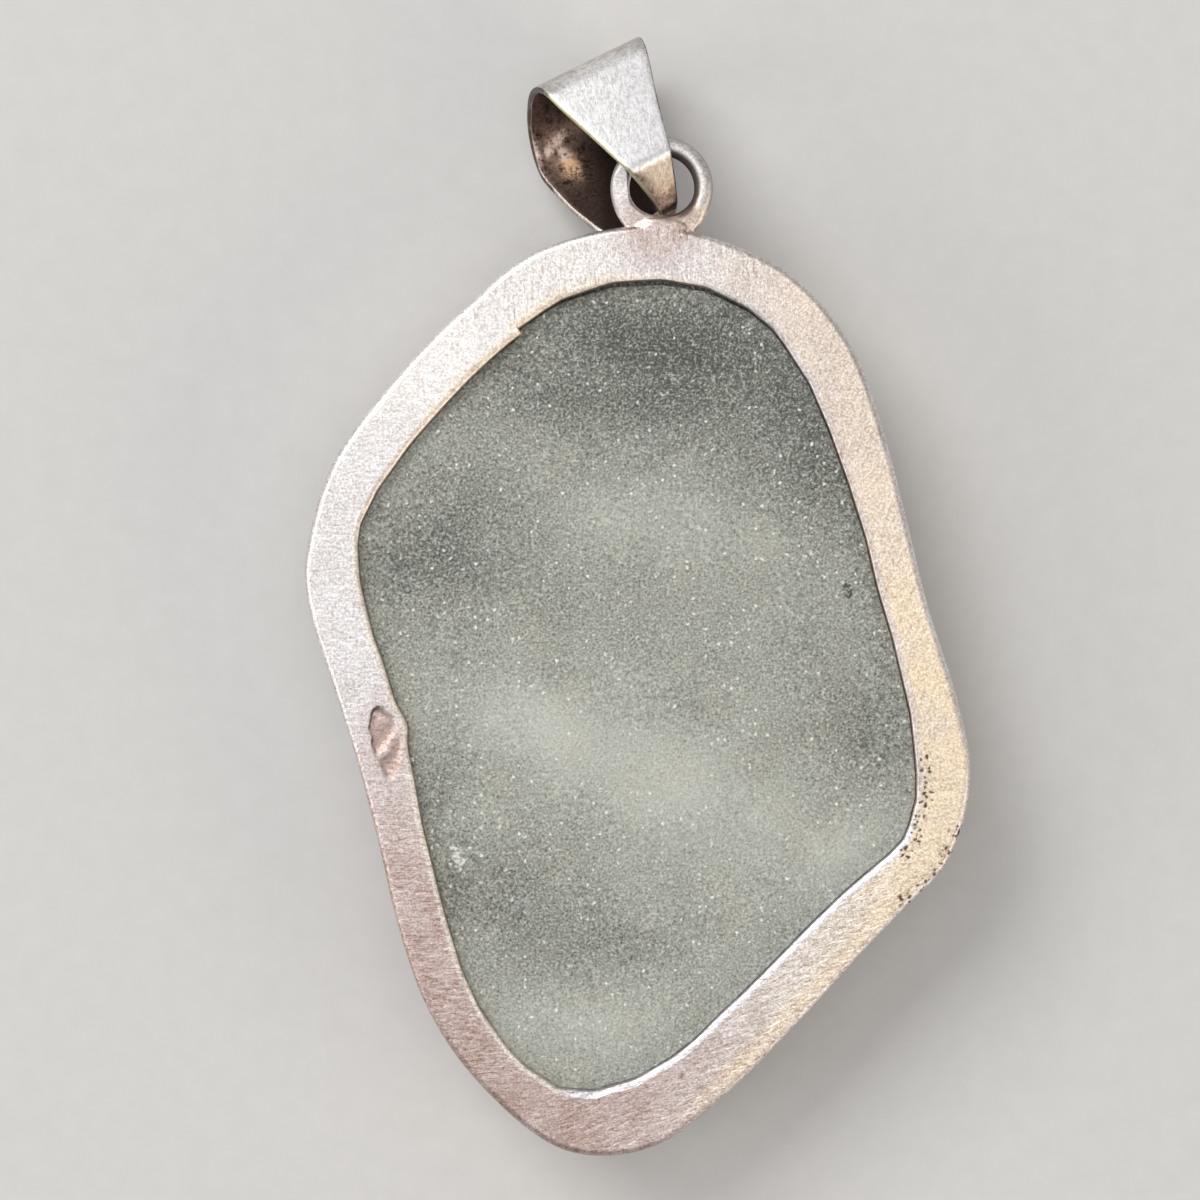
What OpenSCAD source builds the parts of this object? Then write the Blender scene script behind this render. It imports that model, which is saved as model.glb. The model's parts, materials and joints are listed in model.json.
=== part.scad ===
// Sea glass pendant, lying face down.
// A frosted piece of glass sits in a silver bezel with an open back. A wire ring on the top edge carries a
// folded sheet bail. X runs to the right and Y to the top, both seen from the back, and Z runs upwards.

/* [Setting] */
// Height of the back face above the surface that the pendant lies on
back_height = 7.2; // [6.6:0.1:9]
// Thickness of the back rim
rim_thickness = 0.85; // [0.6:0.05:1.1]
// Thickness of the bezel wall
wall_thickness = 0.5; // [0.4:0.05:0.7]
// Radius of the rounded outer edge of the back rim
edge_radius = 0.4; // [0.2:0.05:0.5]
// How far the sawn edge of the window leans back from its lower to its upper border
window_bevel = 0.13; // [0:0.01:0.3]
// Height at which the bezel wall starts to curl over the glass
curl_height = 2.9; // [2.6:0.1:3.6]
// Clearance between the glass and the setting
glass_gap = 0.12; // [0.05:0.01:0.2]

/* [Jump ring] */
// Diameter of the ring wire
ring_wire = 0.85; // [0.7:0.05:1]
// Diameter of the ring, measured along the middle of the wire
ring_diameter = 4.2; // [4:0.1:4.6]

/* [Bail] */
// Thickness of the bail sheet
bail_sheet = 0.5; // [0.4:0.05:0.6]
// Half of the gap across the loop at its round end, to the middle of the sheet
loop_half_gap = 3.15; // [2.8:0.05:3.4]
// Depth of the round end of the loop
loop_bend_depth = 2.3; // [2:0.1:3]
// Length of the straight part of each leg, from the round end to the crease
leg_length = 5.1; // [4.6:0.1:5.4]
// Length of the pinched part of each leg, from the crease to the tip
pinch_length = 1.85; // [1.5:0.05:2]

/* [Hidden] */

// Number of straight pieces between two knots of an outline
SPAN_STEPS = 3;
// Number of straight pieces in a quarter of the loop's round end
BEND_STEPS = 8;
// Shortest distance that keeps two solids from sharing a face
SLIVER = 0.4;

// Outer edge of the back rim, counter-clockwise from the top. Columns: x, y
RIM_KNOTS = [
    [0, 18.5], [-3.6, 17.25], [-6.5, 14.9], [-9.55, 11.9], [-13.15, 7.3], [-14.6, 3],
    [-14.65, -0.05], [-13.45, -4.1], [-12.2, -8], [-11, -12.6], [-10.05, -16.6], [-8.6, -20.55],
    [-6.35, -23.9], [-3, -26.95], [-0.15, -27.85], [3.1, -27.2], [6.35, -24.75], [9.85, -21.25],
    [12.85, -17.95], [15.05, -15.65], [17.5, -12.95], [18.55, -9.1], [18, -5.3], [16.45, -0.35],
    [15.4, 3.9], [14.2, 8.5], [12.6, 12.75], [9.95, 16], [6.8, 17.75], [3.15, 18.7]
];

// Window in the back rim, counter-clockwise from the top left. Columns: x, y
WINDOW_KNOTS = [
    [-1.65, 15], [-3.95, 13.5], [-6.8, 10.75], [-10.25, 6.85], [-11.95, 3.85], [-12.1, 1.25],
    [-11.3, -1.9], [-10.2, -5.2], [-9.55, -8], [-8.75, -12], [-7.75, -15.9], [-6.35, -19.9],
    [-4.05, -23.05], [-1.55, -24.6], [1.45, -24.2], [4.15, -22.5], [6.9, -20], [9.9, -16.95],
    [12.85, -14.15], [15, -12.25], [15.75, -10.5], [15.85, -8.1], [15.3, -4.5], [14.2, -0.4],
    [13.1, 3.75], [11.75, 7.9], [10.05, 11.5], [8.1, 14], [5.2, 15.5], [1.45, 15.8]
];

// Point that the glass tapers to at its front and back
GLASS_CENTRE = [1.6, -4.4];

RIM = 0;
WINDOW = 1;
under_rim = back_height - rim_thickness;

// Section through the bezel, back rim and window edge. Columns: outline, inset from it, z
SETTING_SECTION = [
    [RIM, edge_radius, back_height],
    [RIM, 0.3 * edge_radius, back_height - 0.3 * edge_radius],
    [RIM, 0, back_height - edge_radius],
    [RIM, 0, curl_height],
    [RIM, 0.25, curl_height - 0.8],
    [RIM, 0.8, curl_height - 1.35],
    [RIM, 1.1, curl_height - 1.15],
    [RIM, 0.25 + wall_thickness, curl_height - 0.55],
    [RIM, wall_thickness, curl_height + 0.1],
    [RIM, wall_thickness, under_rim],
    [WINDOW, -0.07, under_rim],
    [WINDOW, -0.07 - window_bevel, back_height]
];

glass_inset = wall_thickness + glass_gap;
glass_back = under_rim - glass_gap;

// Section through the glass from the front to the back. Columns: z, inset from the rim, scale about the centre
GLASS_SECTION = [
    [-SLIVER, glass_inset, 0.3],
    [0.4, glass_inset, 0.52],
    [0.95, glass_inset, 0.76],
    [curl_height - 1.2, glass_inset, 0.95],
    [curl_height - 0.45, glass_inset + 0.1, 0.985],
    [curl_height + 0.3, glass_inset, 1],
    [glass_back - 0.5, glass_inset, 1],
    [glass_back, glass_inset + 0.45, 1],
    [glass_back + 0.08, glass_inset, 0.8],
    [glass_back + 0.28, glass_inset, 0.45]
];

ring_radius = ring_diameter / 2;
RING_CENTRE = [3.1, 20.65, back_height - ring_wire / 2 - 0.02];

// Place of the bail: the middle of the round end, measured from the middle of the ring, and its turns
BAIL_PLACE = RING_CENTRE + [-3.22, 4.15, -2.92];
BAIL_YAW = 34;
BAIL_PITCH = -22;
BAIL_ROLL = 14.5;

crease_half_gap = 0.8 * loop_half_gap;
half_sheet = bail_sheet / 2;
tip_depth = leg_length + pinch_length;

// Round end of the bail. Columns: turn from the middle, width to the left, width to the right, lean
BEND_WIDTHS = [[0, 2.95, 3.5, 0], [90, 3.15, 2.7, 0.2]];

// One leg of the bail below the round end. Columns: depth and half gap of the inner face, depth and half gap
// of the outer face, width to the left, width to the right, lean of this leg to the right
LEG = [
    [0.5 * leg_length, 0.92 * loop_half_gap - half_sheet, 0.5 * leg_length, 0.92 * loop_half_gap + half_sheet,
        2.5, 1.6, 0.34],
    [leg_length - 0.1, crease_half_gap - half_sheet, leg_length + 0.15, crease_half_gap + half_sheet,
        1.45, 0.8, 0.25],
    [leg_length + 0.55 * pinch_length, 0.85, leg_length + 0.65 * pinch_length, 1.4, 0.9, 0.65, 0.12],
    [tip_depth - 0.75, 0.25, tip_depth - 0.05, 0.5, 0.55, 0.52, 0.05],
    [tip_depth - 0.6, 0, tip_depth, 0, 0.45, 0.5, 0]
];

// Cubic curve through the second and third of four knots, and its direction
function curve_point(a, b, c, d, t) =
    (2 * b + (c - a) * t + (2 * a - 5 * b + 4 * c - d) * t * t + (3 * b - a - 3 * c + d) * t * t * t) / 2;
function curve_slope(a, b, c, d, t) =
    ((c - a) + 2 * (2 * a - 5 * b + 4 * c - d) * t + 3 * (3 * b - a - 3 * c + d) * t * t) / 2;
function knot(knots, i) = knots[(i + len(knots)) % len(knots)];

// Closed outline through the knots, moved inwards by the inset
function outline(knots, inset) = [
    for (i = [0 : len(knots) - 1], s = [0 : SPAN_STEPS - 1])
        let (
            a = knot(knots, i - 1),
            b = knot(knots, i),
            c = knot(knots, i + 1),
            d = knot(knots, i + 2),
            slope = curve_slope(a, b, c, d, s / SPAN_STEPS),
            inward = [-slope.y, slope.x] / norm(slope)
        )
        curve_point(a, b, c, d, s / SPAN_STEPS) + inset * inward
];

function at_height(points, z) = [for (p = points) [p.x, p.y, z]];
function about(points, centre, scale) = [for (p = points) centre + scale * (p - centre)];

setting_rings = [
    for (row = SETTING_SECTION)
        at_height(outline(row[0] == RIM ? RIM_KNOTS : WINDOW_KNOTS, row[1]), row[2])
];
glass_rings = [
    for (row = GLASS_SECTION)
        at_height(about(outline(RIM_KNOTS, row[1]), GLASS_CENTRE, row[2]), row[0])
];

function join(lists) = [for (list = lists) each list];

// Two triangles between each pair of neighbours on rings j and k, all rings with n points
function band(j, k, n) = [
    for (i = [0 : n - 1])
        let (a = j * n + i, b = j * n + (i + 1) % n, c = k * n + (i + 1) % n, d = k * n + i)
        each [[a, b, c], [a, c, d]]
];

// Solid between closed rings of points, the last ring joined to the first
module looped(rings) {
    n = len(rings[0]);
    faces = join([for (j = [0 : len(rings) - 1]) band(j, (j + 1) % len(rings), n)]);
    polyhedron(points = join(rings), faces = faces, convexity = 6);
}

// Solid between rings of points that rise in order, closed by a flat face at each end
module stacked(rings) {
    n = len(rings[0]);
    last = (len(rings) - 1) * n;
    sides = join([for (j = [1 : len(rings) - 1]) band(j, j - 1, n)]);
    ends = [[for (i = [0 : n - 1]) i], [for (i = [n - 1 : -1 : 0]) last + i]];
    polyhedron(points = join(rings), faces = concat(sides, ends), convexity = 4);
}

// Half of the bail's loop, from the middle of the round end to the tip.
// Columns: inner face across and along, outer face across and along, left, right, lean
half_loop = concat(
    [
        for (s = [0 : BEND_STEPS])
            let (
                turn = 90 * s / BEND_STEPS,
                inner = [loop_half_gap - half_sheet, loop_bend_depth - half_sheet],
                outer = [loop_half_gap + half_sheet, loop_bend_depth + half_sheet],
                widths = BEND_WIDTHS[0] + (BEND_WIDTHS[1] - BEND_WIDTHS[0]) * s / BEND_STEPS
            )
            [
                inner.x * sin(turn), inner.y * cos(turn),
                outer.x * sin(turn), outer.y * cos(turn),
                widths[1], widths[2], widths[3]
            ]
    ],
    [for (row = LEG) [row[1], -row[0], row[3], -row[2], row[4], row[5], row[6]]]
);

function turned(p) =
    let (
        rolled = [cos(BAIL_ROLL) * p.x + sin(BAIL_ROLL) * p.z, p.y, cos(BAIL_ROLL) * p.z - sin(BAIL_ROLL) * p.x],
        pitched = [
            rolled.x,
            cos(BAIL_PITCH) * rolled.y - sin(BAIL_PITCH) * rolled.z,
            sin(BAIL_PITCH) * rolled.y + cos(BAIL_PITCH) * rolled.z
        ]
    )
    [
        cos(BAIL_YAW) * pitched.x - sin(BAIL_YAW) * pitched.y,
        sin(BAIL_YAW) * pitched.x + cos(BAIL_YAW) * pitched.y,
        pitched.z
    ];

// Four corners of the sheet at one station of the loop; side is 1 on the upper leg and -1 on the lower one
function sheet_corners(row, side) =
    let (left = side * row[6] - row[4], right = side * row[6] + row[5])
    [
        for (corner = [[left, row[3], row[2]], [right, row[3], row[2]], [right, row[1], row[0]], [left, row[1], row[0]]])
            BAIL_PLACE + turned([corner.x, corner.y, side * corner.z])
    ];

loop_end = len(half_loop) - 1;
bail_rings = concat(
    [for (i = [0 : loop_end]) sheet_corners(half_loop[i], 1)],
    [for (i = [loop_end - 1 : -1 : 1]) sheet_corners(half_loop[i], -1)]
);

// Middle of the whole pendant, which the model is centred on
all_points = concat(setting_rings[2], join(bail_rings));
all_x = [for (p = all_points) p.x];
all_y = [for (p = all_points) p.y];
MIDDLE = [(min(all_x) + max(all_x)) / 2, (min(all_y) + max(all_y)) / 2, 0];

module sea_glass() {
    color("#7d8073")
    translate(-MIDDLE)
    difference() {
        stacked(glass_rings);
        translate([-20, -30, -2])
            cube([40, 60, 2]);
    }
}

module jump_ring() {
    translate(RING_CENTRE)
        rotate_extrude($fn = 64)
            translate([ring_radius, 0])
                circle(d = ring_wire, $fn = 32);
}

module setting() {
    color("#c9bfb6")
    translate(-MIDDLE)
    union() {
        looped(setting_rings);
        jump_ring();
    }
}

module bail() {
    color("#b9aea6")
    translate(-MIDDLE)
        looped(bail_rings);
}

sea_glass();
setting();
bail();
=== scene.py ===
# %% [markdown]
# # A sea glass pendant, lying face down
#
# A silversmith set a worn lump of bottle glass in a bezel: a strip of silver bent round the glass, soldered
# to a flat back plate, with a window sawn in the plate so that light still reaches the glass. A wire ring is
# soldered to the top edge, and a bail folded from sheet hangs on it.
#
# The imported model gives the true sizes. It is loaded first and never moved, and each finished piece below is
# built around it, in metres and in the same frame: X runs to the right of the picture, Y to its top, and Z
# up.

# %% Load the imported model
import json
import math
import random
from functools import reduce

import bmesh
import bpy
import numpy as np
from mathutils import Euler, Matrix, Vector, kdtree, noise


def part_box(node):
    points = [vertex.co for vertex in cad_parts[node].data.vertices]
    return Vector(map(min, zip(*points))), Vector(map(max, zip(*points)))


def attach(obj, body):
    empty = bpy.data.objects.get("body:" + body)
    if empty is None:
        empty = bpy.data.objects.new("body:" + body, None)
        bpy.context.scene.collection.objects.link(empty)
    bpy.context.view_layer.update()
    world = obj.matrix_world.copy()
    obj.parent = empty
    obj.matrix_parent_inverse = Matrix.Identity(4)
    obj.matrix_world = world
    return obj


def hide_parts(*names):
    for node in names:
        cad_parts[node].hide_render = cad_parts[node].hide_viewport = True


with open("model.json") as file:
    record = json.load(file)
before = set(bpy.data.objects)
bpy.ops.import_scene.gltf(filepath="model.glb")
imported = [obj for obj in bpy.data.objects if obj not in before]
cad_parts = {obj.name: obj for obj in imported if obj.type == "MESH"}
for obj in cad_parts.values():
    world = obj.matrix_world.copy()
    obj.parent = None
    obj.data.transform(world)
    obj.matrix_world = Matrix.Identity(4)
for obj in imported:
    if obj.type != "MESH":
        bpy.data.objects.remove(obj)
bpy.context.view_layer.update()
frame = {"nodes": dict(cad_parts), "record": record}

MM = 0.001

# %% [markdown]
# The camera comes first, because every later choice is judged through it. The picture was taken from
# straight above, so the camera looks down with Y at the top. Two sizes fix it: how wide a strip of the world
# the picture takes in at the height of the silver back, and how far above the back the camera is. A longer
# lens from further off would flatten the piece; this one is close enough to show the inner side of the
# window all round.

# %% Camera
BACK_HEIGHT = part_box("setting")[1].z
PICTURE_MIDDLE = np.array((-1.886, -0.465)) * MM
PICTURE_WIDTH = 60 * MM
CAMERA_RISE = 140 * MM
SENSOR_WIDTH = 36


def new_object(name, data):
    """An object at the origin, linked to the scene."""
    thing = bpy.data.objects.new(name, data)
    bpy.context.scene.collection.objects.link(thing)
    return thing


camera_data = bpy.data.cameras.new("camera")
camera_data.sensor_width = SENSOR_WIDTH
camera_data.lens = SENSOR_WIDTH * CAMERA_RISE / PICTURE_WIDTH
camera_data.clip_start = 5 * MM
camera = new_object("camera", camera_data)
camera.location = (*PICTURE_MIDDLE, BACK_HEIGHT + CAMERA_RISE)
bpy.context.scene.camera = camera
print(f"lens {camera_data.lens:.0f} mm, {CAMERA_RISE / MM:.0f} mm above the back")

# %% [markdown]
# Later tables give places in mm from the middle of the picture, because that is how an eye compares the
# piece with it. Three small measures turn them into masks: a soft step, the distance from an oval, and a
# noise that breaks up what would look too even.

# %% Places, steps and ovals
def in_picture(x, y):
    """The place in the frame of a point given in mm from the picture's middle, at the height of the back."""
    return PICTURE_MIDDLE + np.array((x, y)) * MM


def seen_at(places):
    """Where the camera sees places, at the height of the back: lower places look nearer the middle."""
    spread = CAMERA_RISE / (CAMERA_RISE + BACK_HEIGHT - places[:, 2:])
    return PICTURE_MIDDLE + (places[:, :2] - PICTURE_MIDDLE) * spread


def soft_step(low, high, values):
    """0 up to low, 1 from high, and a smooth rise between them. With high below low it falls instead."""
    share = np.clip((np.asarray(values, float) - low) / (high - low), 0, 1)
    return share * share * (3 - 2 * share)


def from_oval(places, x, y, length, width, turn):
    """How far places are from the middle of an oval: 1 is its border. Sizes in mm, the turn in degrees."""
    cos, sin = math.cos(math.radians(turn)), math.sin(math.radians(turn))
    right, up = ((places[:, :2] - in_picture(x, y)) / MM).T
    return np.hypot((right * cos + up * sin) / (length / 2), (up * cos - right * sin) / (width / 2))


def swell(places, *oval):
    """A soft bell over an oval, 1 at its middle."""
    return np.exp(-from_oval(places, *oval) ** 2)


def noise_at(flat, layer):
    """Smooth noise between -1 and 1 at many places in a plane, its hills about one unit apart."""
    return np.array([noise.noise(Vector((*place, layer))) for place in flat])


print("top left corner of the picture, mm in the frame:", (in_picture(-30, 30) / MM).round(2))

# %% [markdown]
# Some small helpers serve every piece. The first two make a mesh object out of rings of points, which is how
# a smith's strip, a lens of glass and a folded sheet can all be described: a section that travels round or
# along a line. The next two add a node to a tree and fill its inputs in one call, so that materials and
# Geometry Nodes read as recipes. The last ones paint values on a mesh, read its points, and find the nearest
# point of a line.

# %% Helpers for meshes and node trees
def faces_between(rings, points, closed):
    """Quads between neighbouring rings of equally many points; closed joins the last ring to the first."""
    faces = []
    for j in range(rings if closed else rings - 1):
        low, high = j * points, (j + 1) % rings * points
        for i in range(points):
            beyond = (i + 1) % points
            faces.append((low + i, low + beyond, high + beyond, high + i))
    return faces


def piece_from(name, vertices, faces, material):
    """A smooth-shaded mesh object at the origin, linked to the scene."""
    mesh = bpy.data.meshes.new(name)
    mesh.from_pydata([tuple(v) for v in vertices], [], faces)
    mesh.materials.append(material)
    mesh.shade_smooth()
    return new_object(name, mesh)


def add(tree, kind, inputs=None, **settings):
    """Adds a node and gives its outputs. Inputs go by name or number: a value or another node's output."""
    node = tree.nodes.new(kind)
    for name, value in settings.items():
        setattr(node, name, value)
    for key, value in (inputs or {}).items():
        if isinstance(value, bpy.types.NodeSocket):
            tree.links.new(value, node.inputs[key])
        else:
            node.inputs[key].default_value = value
    return node.outputs


def onto(kind, inputs, **settings):
    """Adds a node that works on other nodes' outputs, in the tree where they are."""
    tree = next(value.id_data for value in inputs.values() if isinstance(value, bpy.types.NodeSocket))
    return add(tree, kind, inputs, **settings)


def paint(piece, name, values):
    """Stores one number for each point of a piece's mesh, for a material to read."""
    layer = piece.data.attributes.new(name, "FLOAT", "POINT")
    layer.data.foreach_set("value", np.asarray(values, np.float32))


def points_of(piece):
    """The places of a piece's points, one row for each."""
    places = np.zeros(len(piece.data.vertices) * 3, np.float32)
    piece.data.vertices.foreach_get("co", places)
    return places.reshape(-1, 3).astype(float)


def nearest_to(places, line):
    """How far each place is from the nearest point of a line, in the plane, and which point that is."""
    lookup = kdtree.KDTree(len(line))
    for i, (x, y) in enumerate(line):
        lookup.insert((x, y, 0), i)
    lookup.balance()
    _, points, distances = zip(*(lookup.find((x, y, 0)) for x, y in places[:, :2]))
    return np.array(distances), np.array(points)


# %% [markdown]
# Every finish below starts from the same few moves: the place on the piece in millimetres, a cloud of noise
# at a chosen size, a ramp that turns noise into a mask, sums and products of masks, and a mix of two colours
# by a mask. Written once as small functions, they let each metal or glass recipe say only what is special
# about it.

# %% Helpers for materials
def new_material(name):
    """An empty material and its tree."""
    material = bpy.data.materials.new(name)
    material.use_nodes = True
    material.node_tree.nodes.clear()
    return material, material.node_tree


def shaded(material, inputs):
    """Ends a material's tree with one surface."""
    onto("ShaderNodeOutputMaterial", {"Surface": onto("ShaderNodeBsdfPrincipled", inputs)[0]})
    return material


def place_in_mm(tree, centre=(0, 0, 0), turn=0.0, unit=(1, 1, 1)):
    """The place on the piece, measured from a centre, along axes turned about Z, in units given in mm."""
    return onto("ShaderNodeMapping", {
        "Vector": add(tree, "ShaderNodeTexCoord")["Object"], "Location": centre,
        "Rotation": (0, 0, math.radians(turn)), "Scale": [u * MM for u in unit],
    }, vector_type="TEXTURE")["Vector"]


def cloud(place, per_mm, detail=2.0, roughness=0.5, bend=0.0):
    """A noise, mostly between 0.3 and 0.7."""
    return onto("ShaderNodeTexNoise", {
        "Vector": place, "Scale": per_mm, "Detail": detail, "Roughness": roughness, "Distortion": bend,
    })["Fac"]


def ramp(value, low, high, to_low=0.0, to_high=1.0):
    """Carries low..high over to to_low..to_high with a smooth rise."""
    return onto("ShaderNodeMapRange", {
        "Value": value, "From Min": low, "From Max": high, "To Min": to_low, "To Max": to_high,
    }, interpolation_type="SMOOTHSTEP")["Result"]


def swing(noise_value, low, high):
    """Carries the usual range of a noise over to low..high."""
    return ramp(noise_value, 0.3, 0.7, low, high)


def maths(operation, *values):
    return onto("ShaderNodeMath", dict(enumerate(values)), operation=operation)[0]


def plus(*values):
    return reduce(lambda total, value: maths("ADD", total, value), values)


def minus(value, less):
    return maths("SUBTRACT", value, less)


def times(*values):
    return reduce(lambda total, value: maths("MULTIPLY", total, value), values)


def mixed(mask, colour_a, colour_b, blend="MIX"):
    """Colour a where the mask is 0, colour b where it is 1."""
    inputs = {0: mask, 6: colour_a, 7: colour_b}
    return onto("ShaderNodeMix", inputs, data_type="RGBA", blend_type=blend)[2]


def painted(tree, name):
    return add(tree, "ShaderNodeAttribute", attribute_name=name)["Fac"]


def bumped(height, depth):
    """A surface normal from a height between 0 and 1; depth is the real depth in millimetres."""
    return onto("ShaderNodeBump", {"Height": height, "Distance": depth * MM})["Normal"]


# %% [markdown]
# ## Silver
#
# The plate was filed and sanded by hand, so its satin face is made of fine strokes: across the rim on the left
# and at the top, along it at the foot, slanting on the right. Years of wear left a pinkish tarnish towards the
# foot on the left, and dark sulphide in the pits and the punch mark. The straw-coloured tone on the right is a
# painted warm reflection, and a painted sheen brightens the upper left. Painted shadows darken the upper wall
# of the punch mark and the foot of the window's wall. The filed wall of the window was cut last and is still
# white at the lower right, where its cool tint is also a painted reflection. Each stroke direction is one
# stretched noise with its own mask, and the tones are mixed by masks that are painted on the mesh later, where
# the shape is known.

# %% Colours and strokes of the setting
BRIGHT_SILVER = (0.725, 0.69, 0.675, 1)
STRAW_SILVER = (0.84, 0.68, 0.48, 1)
PINK_TARNISH = (0.50, 0.37, 0.33, 1)
DARK_TARNISH = (0.050, 0.030, 0.024, 1)
FRESH_SILVER_AND_REFLECTION = (0.70, 0.685, 0.735, 1)

# Columns: direction of the strokes in degrees, direction of single scratches, painted mask, strength
SETTING_STROKES = [
    (3, -14, "strokes_across", 1.0), (17, 24, "strokes_along", 1.3), (66, 42, "strokes_slanting", 1.0),
    (92, 106, "strokes_upright", 1.2),
]


def strokes(tree, direction, per_mm=6.0, length=0.65):
    """Fine, slightly wavy file strokes that run at an angle to X, in degrees, as a value round 0.5."""
    place = place_in_mm(tree, turn=direction, unit=(length, 1 / per_mm, 1 / per_mm))
    return cloud(place, 1.0, detail=3.0, roughness=0.68, bend=0.8)


def file_marks(tree):
    """Fine strokes and single scratches, each in its own direction and part of the plate, both round 0."""
    filed = scratched = 0.0
    for direction, scratch_direction, mask, strength in SETTING_STROKES:
        here = times(painted(tree, mask), strength)
        single = strokes(tree, scratch_direction, per_mm=5.5, length=1.5)
        light = times(ramp(single, 0.58, 0.70), here)
        dark = times(ramp(single, 0.38, 0.27), here)
        filed = plus(filed, times(minus(strokes(tree, direction), 0.5), here))
        scratched = plus(scratched, maths("MULTIPLY_ADD", dark, -0.4, light))
    return filed, scratched


def small_pits(tree, place, grain):
    """1 in the smallest pits: a ragged dot in some random cells, in more where "pitting" is painted."""
    cells = onto("ShaderNodeTexVoronoi", {"Vector": place, "Scale": 4.2})
    chance = onto("ShaderNodeSeparateColor", {0: cells["Color"]})
    crowd = painted(tree, "pitting")
    wanted = maths("LESS_THAN", chance[0], times(crowd, 0.85))
    reach = plus(ramp(chance[1], 0.0, 1.0, 0.18, 0.50), swing(grain, -0.24, 0.24))
    inside = ramp(minus(reach, cells["Distance"]), 0.0, 0.18)
    return times(wanted, times(inside, ramp(crowd, 0.3, 0.8, 0.16, 0.80)))


# %% Silver of the setting
def new_satin_silver():
    material, tree = new_material("satin_silver")
    place = place_in_mm(tree)
    grain = cloud(place, 7.5, detail=4.0, roughness=0.72)
    wear = cloud(place, 0.45, detail=5.0, roughness=0.62)
    filed, scratched = file_marks(tree)
    pits = small_pits(tree, place, grain)
    # The tone carries the painted sheen, which brightens the upper left and parts of the outer edge.
    tone = plus(
        swing(grain, -0.34, 0.34), times(filed, 0.9), times(scratched, 0.20), swing(wear, -0.05, 0.05),
        times(painted(tree, "painted_sheen"), 0.13))
    specks = ramp(cloud(place, 3.4, detail=3.0, roughness=0.7), 0.35, 0.68, -0.05, 0.14)
    # The straw mask is mostly a painted warm reflection.
    straw = times(painted(tree, "straw"), ramp(wear, 0.2, 0.7, 0.65, 1.0))
    pink = maths("MULTIPLY_ADD", painted(tree, "pink"), ramp(wear, 0.25, 0.75, 1.0, 0.7), specks)
    metal = mixed(straw, BRIGHT_SILVER, STRAW_SILVER)
    metal = mixed(pink, metal, PINK_TARNISH)
    # Fresh silver with a painted cool reflection on the walls that face the window.
    metal = mixed(painted(tree, "fresh_and_reflection"), metal, FRESH_SILVER_AND_REFLECTION)
    shades = {i: maths("MULTIPLY_ADD", tone, share, 1.0) for i, share in enumerate((0.85, 1.0, 1.15))}
    brownish = onto("ShaderNodeCombineColor", shades)[0]
    metal = mixed(1.0, metal, brownish, blend="MULTIPLY")
    worn_dark = plus(painted(tree, "dark"), swing(grain, -0.13, 0.13))
    dark = maths("MAXIMUM", times(ramp(worn_dark, 0.25, 0.85), 0.88), pits)
    relief = plus(times(grain, 0.5), minus(filed, pits))
    return shaded(material, {
        "Base Color": mixed(dark, metal, DARK_TARNISH), "Metallic": 1.0,
        "Roughness": plus(swing(wear, 0.38, 0.48), times(dark, 0.25)),
        "Normal": bumped(relief, 0.022),
    })


satin_silver = new_satin_silver()
print("setting's silver:", len(satin_silver.node_tree.nodes), "nodes")

# %% [markdown]
# ## The lines of the setting
#
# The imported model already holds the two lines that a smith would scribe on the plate: the outer edge and the
# window. They are read from its corners at the height of the back, so no list of points is needed here. A
# smooth closed curve through those corners then gives as many points as a fine mesh wants.

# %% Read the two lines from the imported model
NEAR = MM / 1000


def len_round(line):
    return float(np.linalg.norm(np.roll(line, -1, axis=0) - line, axis=1).sum())


def lines_at(node, height):
    """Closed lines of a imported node's corners at one height, the longest first, each counter-clockwise."""
    merged = bmesh.new()
    merged.from_mesh(frame["nodes"][node].data)
    bmesh.ops.remove_doubles(merged, verts=merged.verts, dist=NEAR)
    level = {v.index for v in merged.verts if abs(v.co.z - height) <= NEAR}
    beside = {}
    for edge in merged.edges:
        around = {v.index for face in edge.link_faces for v in face.verts}
        if all(v.index in level for v in edge.verts) and around - level:
            for v in edge.verts:
                beside.setdefault(v.index, []).append(edge.other_vert(v).index)
    places = [v.co.xy for v in merged.verts]
    lines = []
    while beside:
        line = [next(iter(beside))]
        while onward := [v for v in beside.pop(line[-1]) if v in beside]:
            line.append(onward[0])
        points = np.array([places[v] for v in line])
        onwards = np.roll(points, -1, axis=0)
        turned_left = np.sum(points[:, 0] * onwards[:, 1] - points[:, 1] * onwards[:, 0]) > 0
        lines.append(points if turned_left else points[::-1])
    merged.free()
    return sorted(lines, key=len_round, reverse=True)


def smooth_through(points, steps):
    """A closed curve through the points, with a number of steps between each pair."""
    before, here, after, beyond = (np.roll(points, shift, axis=0)[:, None] for shift in (1, 0, -1, -2))
    t = (np.arange(steps) / steps)[None, :, None]
    curve = 2 * here + (after - before) * t + (2 * before - 5 * here + 4 * after - beyond) * t**2
    curve = (curve + (3 * here - before - 3 * after + beyond) * t**3) / 2
    return curve.reshape(-1, points.shape[1])


def inward(line):
    """Unit vectors that point into a counter-clockwise line."""
    along = np.roll(line, -1, axis=0) - np.roll(line, 1, axis=0)
    along /= np.linalg.norm(along, axis=1)[:, None]
    return np.stack([-along[:, 1], along[:, 0]], axis=1)


def matched(line, other):
    """The other line, started so that its points lie beside those of the first."""
    turns = [np.linalg.norm(np.roll(other, -k, axis=0) - line, axis=1).sum() for k in range(len(other))]
    return np.roll(other, -int(np.argmin(turns)), axis=0)


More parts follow.
